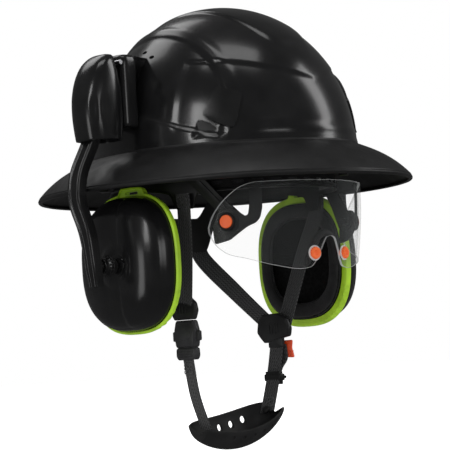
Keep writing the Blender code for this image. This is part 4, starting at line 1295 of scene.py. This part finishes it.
def visor_arm(side, word):
    """A slim arm between the headband pivot and the button, with a raised spine."""
    top = Vector((0, VISOR_TOP.y, VISOR_TOP.z))
    foot = Vector((0, BUTTON.y, BUTTON.z))
    along = (foot - top).normalized()
    wide = Vector((1, 0, 0)).cross(along)
    length = (foot - top).length

    def place(u, v, depth):
        spot = top + along * u + wide * v
        share = min(1.0, max(0.0, u / length))
        return Vector((side * (VISOR_TOP.x - VISOR_LEAN * share + depth), spot.y, spot.z))

    outline = arc(8.0, 90, 270, 20) + [(length * 0.3, -6.2), (length * 0.7, -5.9)]
    outline += arc(7.6, -90, 90, 20, (length, 0)) + [(length * 0.7, 5.9), (length * 0.3, 6.2)]
    holes = [circle(3.4, 32, (at, 0)) for at in (0, length)]
    cuts = frange(-6, length + 6, 3.0)
    spine = rounded_loop([(11, -2.4), (length - 11, -2.4), (length - 11, 2.4), (11, 2.4)], 2.2, 5)
    shapes = [plate(outline, holes, place, (0.0, 2.2), cuts, []),
              plate(spine, [], place, (2.0, 2.9), cuts, [])]
    piece("visor_arm_" + word, "visor_arms", shapes, [NYLON], "visor_arm_" + word,
          bevel=0.4)


def visor_pivot(side, word):
    """Stud on the headband with a knurled cap, about which a visor arm turns."""
    node = "visor_pivot_" + word
    start = low(node).x if side > 0 else high(node).x
    profile = rounded_profile([(0.8, 0), (2.9, 0), (2.9, 5.6), (6.0, 6.0), (6.0, 12.0), (4.6, 12.5),
                               (3.8, 11.4), (0.6, 11.3)], 0.5, 4)
    shapes = [turned(profile, (start, VISOR_TOP.y, VISOR_TOP.z), (side, 0, 0), 96, 16, 0.5,
                     between=(6.6, 12.1))]
    piece(node, "helmet", shapes, [NYLON], node)


def nose_fastener(side, word):
    """Serrated orange rivet in a clear seat, which holds the nose pad to the lens."""
    spot = lens_point(side * 13, -57.0)
    out = Vector((side * 0.2, -1, 0)).normalized()
    profile = rounded_profile([(0.8, -3.6), (2.2, -3.6), (2.2, 0.9), (4.9, 0.9), (4.9, 2.3), (4.1, 2.9),
                               (2.6, 2.9), (1.9, 2.2), (0.5, 2.1)], 0.35, 3)
    shapes = [turned(profile, spot, out, 112, 14, 0.75, between=(1.0, 2.7))]
    seat = rounded_profile([(2.4, 0.15), (6.0, 0.15), (6.0, 0.75), (5.4, 1.0), (2.4, 1.0)], 0.25, 3)
    # the seat takes the lens edge's pale paint, a painted glint
    shapes.append(turned(seat, spot, out, 56, paint=1))
    piece("nose_clip_" + word, "visor", shapes, [ORANGE, LENS_EDGE_GLINT], "nose_clip_" + word)


def nose_pad():
    """Soft black bridge behind the lens's nose cut-out."""
    arch = curve([lens_point(d, z, 4.6) for d, z in ((-15, -66), (-12.5, -60), (-9, -51), (-6, -44),
                                                    (0, -40.8), (6, -44), (9, -51), (12.5, -60),
                                                    (15, -66))], 7)
    rings = []
    for i, spot in enumerate(arch):
        ahead = (arch[min(i + 1, len(arch) - 1)] - arch[max(i - 1, 0)]).normalized()
        wide = ahead.cross(Vector((0, 1, 0))).normalized()
        left = min(i, len(arch) - 1 - i)
        puff = 0.62 + 0.38 * smooth(left / 6)
        rings.append([spot + Vector((0, 3.0, 0)) + wide * 2.9 * puff * bulge(c, 0.8)
                      + Vector((0, 1, 0)) * 2.9 * puff * bulge(s, 0.8) for c, s in circle(1, 20)])
    item = piece("nose_pad", "visor", skin(rings), [RUBBER], "nose_pad", sharp=80)


# ---------------------------------------------------------------- chin strap

LEAN = Matrix.Rotation(math.radians(CHIN_TILT), 3, "Y").inverted()


def chin_end(side):
    """The top corner of the chin cup at one side, where the webbing is riveted on."""
    return CHIN + LEAN @ Vector((side * 36.0, 0.0, 8.5))


def webbing_piece(name, body, shapes, node):
    """A strap with its stitches."""
    return piece(name, body, shapes, [WEBBING, THREAD], node, sharp=50)


def upper_straps(side, word):
    """Front and rear webbing: sewn to the headband and the nape cradle, and held in the slider."""
    slider = middle("strap_slider_" + word)
    lean = (0, 1, 0.25)
    top = Vector((side * 78.0, -31.5, -4))
    route = curve([top, (side * 76.4, -30.5, -19), (side * 68, -21, -52),
                   (side * 56.2, -5, slider.z)], 14)
    shapes = [ribbon(route, lean, 15.0)]
    out = Vector((side, -0.35, 0.1))
    shapes += stitch_box(top + Vector((side * 0.3, 0.6, -6.5)), (side * -0.1, 0.06, -1), lean, out, 9, 11)
    webbing_piece("front_strap_" + word, "helmet", shapes, "front_strap_" + word)

    lean = (0, 0.62, -0.79)
    top = Vector((side * 53.4, 84.5, -31))
    foot = Vector((side * 53.8, 5, slider.z))
    start = Vector((side * 50.6, 81, -47))
    half_way = Vector((side * 54, 46, (start.z + foot.z) / 2))
    route = curve([top, start, half_way, foot], 14)
    ways = [Vector((side * -0.8, 0.62, 0.1)).lerp(Vector(lean), smooth(i / (len(route) - 1)))
            for i in range(len(route))]
    item = mesh_object("rear_strap_" + word, [ribbon(route, ways, 14.0)], [WEBBING])
    item.data.shade_smooth()
    item.data.set_sharp_from_angle(angle=math.radians(50))
    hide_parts("rear_strap_" + word)
    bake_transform(item)


def side_plate(name, body, outline, x0, x1, soft, paints, node, extra=(), cuts=()):
    """A moulded part whose outline lies in the (Y, Z) plane between two X faces."""
    def place(u, v, depth):
        return Vector((depth, u, v))
    loop = rounded_loop(outline, 1.6, 4)
    depths = [(x0, soft * 1.4), (x0 + soft * 0.4, soft * 0.5), (x0 + soft, 0), (x1 - soft, 0),
              (x1 - soft * 0.4, soft * 0.5), (x1, soft * 1.4)]
    return piece(name, body, [prism(loop, place, depths)] + list(extra), paints, node,
                 sharp=40, cuts=cuts)


def raised(x0, x1, sunk, proud):
    """The X ranges of details that stand proud of a part's two faces."""
    return [(x0 - proud, x0 + sunk), (x1 - sunk, x1 + proud)]


def slider_ribs(x0, x1, y, z, count, height):
    """Short upright grip ribs on both faces of a slider."""
    made = []
    for k in range(count):
        at = y + (k - (count - 1) / 2) * 3.2
        for c, d in raised(x0, x1, 0.6, 0.45):
            made.append(box_shape((c, at - 0.55, z - height / 2), (d, at + 0.55, z + height / 2), 0.5, 0))
    return made


def strap_sliders():
    """The moulded parts in which the front and rear webbing meet; the left one has a mouth below."""
    a, b = low("strap_slider_left"), high("strap_slider_left")
    outline = [(b.y, a.z + 9), (b.y - 1.5, b.z - 7), (b.y - 7, b.z - 0.5), (-2, b.z), (a.y + 2.5, b.z - 5),
               (a.y, b.z - 13), (a.y + 1.4, a.z + 5), (8, a.z + 1.6), (b.y - 8, a.z), (b.y - 3, a.z + 5)]
    mouth = box_shape((middle("strap_slider_left").x - 1.3, -5.2, a.z - 4),
                      (middle("strap_slider_left").x + 1.3, 11.2, a.z + 14), 0.8, 0)
    side_plate("strap_slider_left", "helmet", outline, a.x, b.x, 1.3, [SLIDER], "strap_slider_left",
               slider_ribs(a.x, b.x, 3, a.z + 12, 4, 9), [mouth])

    a, b = low("strap_slider_right"), high("strap_slider_right")
    outline = [(b.y, a.z + 8), (b.y - 1.5, b.z - 4), (b.y - 6, b.z), (a.y + 8, b.z), (a.y + 1.5, b.z - 5),
               (a.y, a.z + 7), (a.y + 3, a.z), (b.y - 5, a.z)]
    side_plate("strap_slider_right", "helmet", outline, a.x, b.x, 1.2, [SLIDER], "strap_slider_right",
               slider_ribs(a.x, b.x, -2, a.z + 9, 4, 8))


def lock_lever():
    """Red lever in the left slider, with fine grips on its tail."""
    a, b = low("lock_lever_left"), high("lock_lever_left")
    outline = [(b.y, b.z - 0.3), (b.y - 4.5, b.z - 5.2), (5, b.z - 6.5), (-2, b.z - 8), (-3.4, a.z + 0.4),
               (a.y, a.z), (a.y + 2.4, b.z - 7), (a.y + 1.2, b.z - 0.3)]
    grips = [box_shape((a.x - 0.25, -10.6, a.z + 1.6 + 1.7 * k), (b.x + 0.25, -4.8, a.z + 2.3 + 1.7 * k),
                       0.3, 0) for k in range(3)]
    side_plate("lock_lever_left", "lock_lever", outline, a.x, b.x, 0.6, [LOCK_RED], "lock_lever_left",
               grips)


def left_lower_strap():
    """Webbing from the left slider to the chin cup, its loose tail, and the keeper round both."""
    start = Vector((55.0, 3.0, -125.0))
    end = chin_end(1)
    bend = Vector((50.0, 4.5, (start.z + end.z) / 2))
    route = curve([start + Vector((0, 0, 21)), start, bend, end], 14)
    shapes = [ribbon(route, (0, 1, 0), 15.0)]
    shapes += stitch_box(end + Vector((1.9, 0, 8)), end - bend, (0, 1, 0), (1, 0, 0.3), 8, 11)
    webbing_piece("lower_strap_left", "chin_loop", shapes, "lower_strap_left")
    tail = curve([start + Vector((2.2, -2.2, -1)), start + Vector((2.6, -2.6, -12)),
                  bend + Vector((2.6, -1.6, 6)), bend + Vector((2.4, -1.6, -6))], 10)
    webbing_piece("strap_tail_left", "chin_loop", [ribbon(tail, (0, 1, 0), 13.5)], ())

    spot = bend + Vector((1.4, 0, 0))
    ring = box_shape(spot + Vector((-2.9, -9.5, -2.8)), spot + Vector((3.2, 9.5, 2.8)), 1.4, 2)
    hole = box_shape(spot + Vector((-2.4, -8.0, -5)), spot + Vector((2.1, 8.0, 5)), 0.6, 2)
    bar = box_shape(spot + Vector((1.9, -10.3, -1.2)), spot + Vector((4.2, 9.8, 1.2)), 1.0, 1)
    piece("strap_keeper", "chin_loop", [ring, bar], [NYLON], "strap_keeper",
          bevel=0.25, cuts=[hole])


def buckle():
    """Side-release buckle: a hollow housing with a window in each edge, and a pronged plug."""
    a, b = low("buckle_housing"), high("buckle_housing")
    mid_y = (a.y + b.y) / 2
    outline = [(a.y + 1.6, a.z), (b.y - 1.6, a.z), (b.y - 0.4, a.z + 6), (b.y, b.z - 8), (b.y - 2.5, b.z),
               (a.y + 2.5, b.z), (a.y, b.z - 8), (a.y + 0.4, a.z + 6)]
    pocket = box_shape((a.x + 1.8, a.y + 2.6, a.z - 4), (b.x - 1.8, b.y - 2.6, b.z - 4), 0.8, 1)
    windows = [box_shape((a.x + 2.3, y - 3, a.z + 5), (b.x - 2.3, y + 3, a.z + 13), 1.2, 1)
               for y in (a.y, b.y)]
    faces = [box_shape((c, mid_y - 7, a.z + 6), (d, mid_y + 7, b.z - 4), 2.4, 0)
             for c, d in raised(a.x, b.x, 0.7, 0.35)]
    side_plate("buckle_housing", "helmet", outline, a.x, b.x, 1.5, [BUCKLE], "buckle_housing",
               faces, [pocket] + windows)

    a, b = low("buckle_plug"), high("buckle_plug")
    top = a.z + 9.5
    outline = [(a.y + 2, a.z), (b.y - 2, a.z), (b.y, a.z + 3), (b.y - 0.4, top), (a.y + 0.4, top),
               (a.y, a.z + 3)]
    middle_x = (a.x + b.x) / 2
    ribs = []
    for k in range(4):
        for c, d in raised(a.x, b.x, 0.6, 0.4):
            ribs.append(box_shape((c, a.y + 2.4, a.z + 1.2 + 2.0 * k), (d, b.y - 2.4, a.z + 2.2 + 2.0 * k),
                                  0.4, 0))
    tongue = box_shape((middle_x - 1.5, mid_y - 2.2, top - 2), (middle_x + 1.5, mid_y + 2.2, b.z - 1.5),
                       0.8, 0)
    prongs = [tongue]
    for side in (-1, 1):
        y = mid_y + side * 6.3
        bow = curve([(middle_x, y - side * 1.2, top - 2), (middle_x, y + side * 0.6, top + 6),
                     (middle_x, y + side * 1.0, top + 11), (middle_x, y - side * 0.8, top + 16)], 6)
        prongs.append(tube(bow, 1.35, 12))
    side_plate("buckle_plug", "chin_loop", outline, a.x, b.x, 1.1, [BUCKLE], "buckle_plug",
               ribs + prongs)


def right_lower_strap():
    """Webbing from the buckle's plug to the chin cup."""
    start = Vector((-55.0, -4.0, low("buckle_plug").z - 1.0))
    end = chin_end(-1)
    bend = Vector((-50.0, -4.0, (start.z + end.z) / 2))
    route = curve([start + Vector((0, 0, 4)), start, bend, end], 14)
    shapes = [ribbon(route, (0.2, 1, 0), 15.0)]
    shapes += stitch_box(start + Vector((-1.0, 0, -6)), (0, 0, -1), (0.2, 1, 0), (-1, 0.1, 0), 8, 11)
    webbing_piece("lower_strap_right", "chin_loop", shapes, "lower_strap_right")


def chin_point(u, v, inward):
    """The boat-shaped cup: u runs from its right to its left, v from the front rim to the back."""
    length, depth = 46.0 - inward, 13.5 - inward
    end = math.sqrt(max(0.0, 1 - (0.93 * u) ** 2))
    half = 5.0 + (14.0 - inward) * end
    turn = math.radians(-90 + 180 * v)
    z = -depth * (0.25 + 0.75 * end) * math.cos(turn) + 9.0 * u * u
    z += (1.5 + 12.0 * v) * end * math.sin(turn) ** 2
    return CHIN + LEAN @ Vector((length * u, half * math.sin(turn), z))


def chin_cup():
    """Soft boat-shaped cup with a rolled rim, four holes in its back wall and dimples in front."""
    rings = []
    for i in range(73):
        u = -1 + 2 * i / 72
        rows = [k / 30 for k in range(31)]
        outer = [chin_point(u, v, 0.0) for v in rows]
        inner = [chin_point(u, v, 2.2) for v in reversed(rows)]
        back = chin_point(u, 1.0, 1.1) + Vector((0, 0, 0.9))
        front = chin_point(u, 0.0, 1.1) + Vector((0, 0, 0.9))
        rings.append(outer + [back] + inner + [front])
    cuts = []
    for u in (-0.45, -0.15, 0.15, 0.45):
        cuts.append(turned([(2.8, -9), (2.8, 9)], chin_point(u, 0.86, 1.0), (0, 1, 0.25), 32))
    for u in (-0.5, -0.25, 0.0, 0.25, 0.5):
        spot = chin_point(u, 0.16, 0.0)
        cuts.append(turned([(0.6, -0.9), (1.7, -0.7), (2.3, 1.5)], spot, (0, -1, -0.3), 24))
    piece("chin_cup", "chin_loop", skin(rings), [RUBBER], "chin_cup", bevel=0.25,
          sharp=45, cuts=cuts)
    for side, word in SIDES:
        end = chin_end(side)
        dome = rounded_profile([(0.4, 2.2), (2.6, 1.9), (3.4, 1.0), (3.4, -0.6), (0.4, -0.6)], 0.5, 3)
        spot = end + Vector((-side * 1.4, 0, 1.5))
        piece("chin_rivet_" + word, "chin_loop", turned(dome, spot, (-side, 0, 0.25), 40), [NYLON], ())


# ---------------------------------------------------------------- kept nodes

def keep_node(name, paint):
    """A small CAD node that is shown as it is, with a finished material."""
    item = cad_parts[name]
    for number in range(len(item.data.materials)):
        item.data.materials[number] = paint


# ---------------------------------------------------------------- stage

def softbox(name, azimuth, elevation, distance, size, power):
    """A rectangular lamp that faces the helmet; azimuth 0 is in front and elevation is from level."""
    turn, rise = math.radians(azimuth), math.radians(elevation)
    back = Vector((math.sin(turn) * math.cos(rise), -math.cos(turn) * math.cos(rise), math.sin(rise)))
    light = bpy.data.lights.new(name, "AREA")
    light.shape = "RECTANGLE"
    light.size, light.size_y = size
    light.energy = power
    item = bpy.data.objects.new(name, light)
    item.location = back * distance
    item.rotation_euler = (-back).to_track_quat("-Z", "Y").to_euler()
    bpy.context.scene.collection.objects.link(item)


def studio():
    """Pale floor, white surround and soft boxes."""
    rings = []
    height = low("chin_cup").z - 22.0
    for radius in (5, 400, 1500, 4000, 12000):
        rings.append(ellipse(radius, radius, height, 96))
    floor_paint = Paint("pale_floor", (0.93, 0.93, 0.93), 0.6, Emission_Color=(1, 1, 1, 1))
    # the floor glows, faintly near the helmet and fully far from it: painted light standing in for a lit
    # white backdrop
    away = floor_paint.add("ShaderNodeVectorMath", operation="LENGTH")
    floor_paint.links.new(floor_paint.place, away.inputs[0])
    glow = floor_paint.spread(away.outputs["Value"], 0.35, 1.0, 0.3, 1.6)
    floor_paint.links.new(glow, floor_paint.shader.inputs["Emission Strength"])
    floor_paint.bump(floor_paint.noise(300, 2), 0.02, 0.1)
    floor = mesh_object("floor", [skin(rings)], [floor_paint.made])
    floor.visible_glossy = False
    floor.visible_diffuse = False

    world = bpy.data.worlds.new("surround")
    bpy.context.scene.world = world
    world.use_nodes = True
    nodes, links = world.node_tree.nodes, world.node_tree.links
    plain = nodes["Background"]
    plain.inputs["Color"].default_value = (1, 1, 1, 1)
    plain.inputs["Strength"].default_value = 0.72
    path = nodes.new("ShaderNodeLightPath")
    shown = plain.outputs[0]
    for ray, strength in (("Is Glossy Ray", 0.1), ("Is Camera Ray", 1.0)):
        other, mix = nodes.new("ShaderNodeBackground"), nodes.new("ShaderNodeMixShader")
        other.inputs["Color"].default_value = (1, 1, 1, 1)
        other.inputs["Strength"].default_value = strength
        links.new(path.outputs[ray], mix.inputs[0])
        links.new(shown, mix.inputs[1])
        links.new(other.outputs[0], mix.inputs[2])
        shown = mix.outputs[0]
    links.new(shown, nodes["World Output"].inputs["Surface"])

    softbox("key", -80, 22, 1.6, (0.28, 0.7), 4)
    softbox("front", -12, 8, 2.0, (0.8, 0.5), 3)
    softbox("top", -50, 75, 1.8, (1.2, 0.6), 6)
    softbox("right", 50, 30, 1.6, (0.4, 1.0), 5)
    softbox("rear", 175, 50, 1.6, (1.0, 0.5), 3)
    softbox("low", -100, -8, 1.8, (0.5, 0.8), 3)
    bpy.context.scene.view_settings.view_transform = "Standard"


def camera():
    """The camera stands low at the wearer's front right, with a long lens and a slight roll."""
    azimuth, elevation, roll = (math.radians(v) for v in (-45.33, -3.52, -3.44))
    distance, focal = 1.78, 173.7
    aside, below = 0.98 * MM, 25.54 * MM
    back = Vector((math.sin(azimuth) * math.cos(elevation), -math.cos(azimuth) * math.cos(elevation),
                   math.sin(elevation)))
    right = Vector((math.cos(azimuth), math.sin(azimuth), 0))
    up = back.cross(right)
    across = right * math.cos(roll) + up * math.sin(roll)
    upward = up * math.cos(roll) - right * math.sin(roll)
    data = bpy.data.cameras.new("camera")
    data.sensor_width = 36.0
    data.lens = focal
    data.clip_start, data.clip_end = 0.05, 60
    item = bpy.data.objects.new("camera", data)
    turn = Matrix((across, upward, back)).transposed().to_4x4()
    spot = back * distance + across * aside - upward * below
    item.matrix_world = Matrix.Translation(spot) @ turn
    bpy.context.scene.collection.objects.link(item)
    bpy.context.scene.camera = item


def main():
    helmet_shell()
    slot_covers()
    headband()
    sweatband()
    crown_straps()
    crown_pad()
    hangers()
    nape_cradle()
    nape_pad()
    ratchet()
    for side, word in SIDES:
        muff_adapter(side, word)
        muff_hood(side, word)
        muff_arm(side, word)
        muff_slider(side, word)
        ear_cup(side, word)
        cup_rim(side, word)
        cup_cushion(side, word)
        cup_liner(side, word)
        keep_node("muff_hinge_pin_" + word, STEEL)
        keep_node("cup_pivot_" + word, NYLON)
        visor_bracket(side, word)
        visor_button(side, word)
        visor_arm(side, word)
        visor_pivot(side, word)
        nose_fastener(side, word)
        upper_straps(side, word)
    visor_lens()
    nose_pad()
    strap_sliders()
    lock_lever()
    left_lower_strap()
    buckle()
    right_lower_strap()
    chin_cup()
    studio()
    camera()


main()
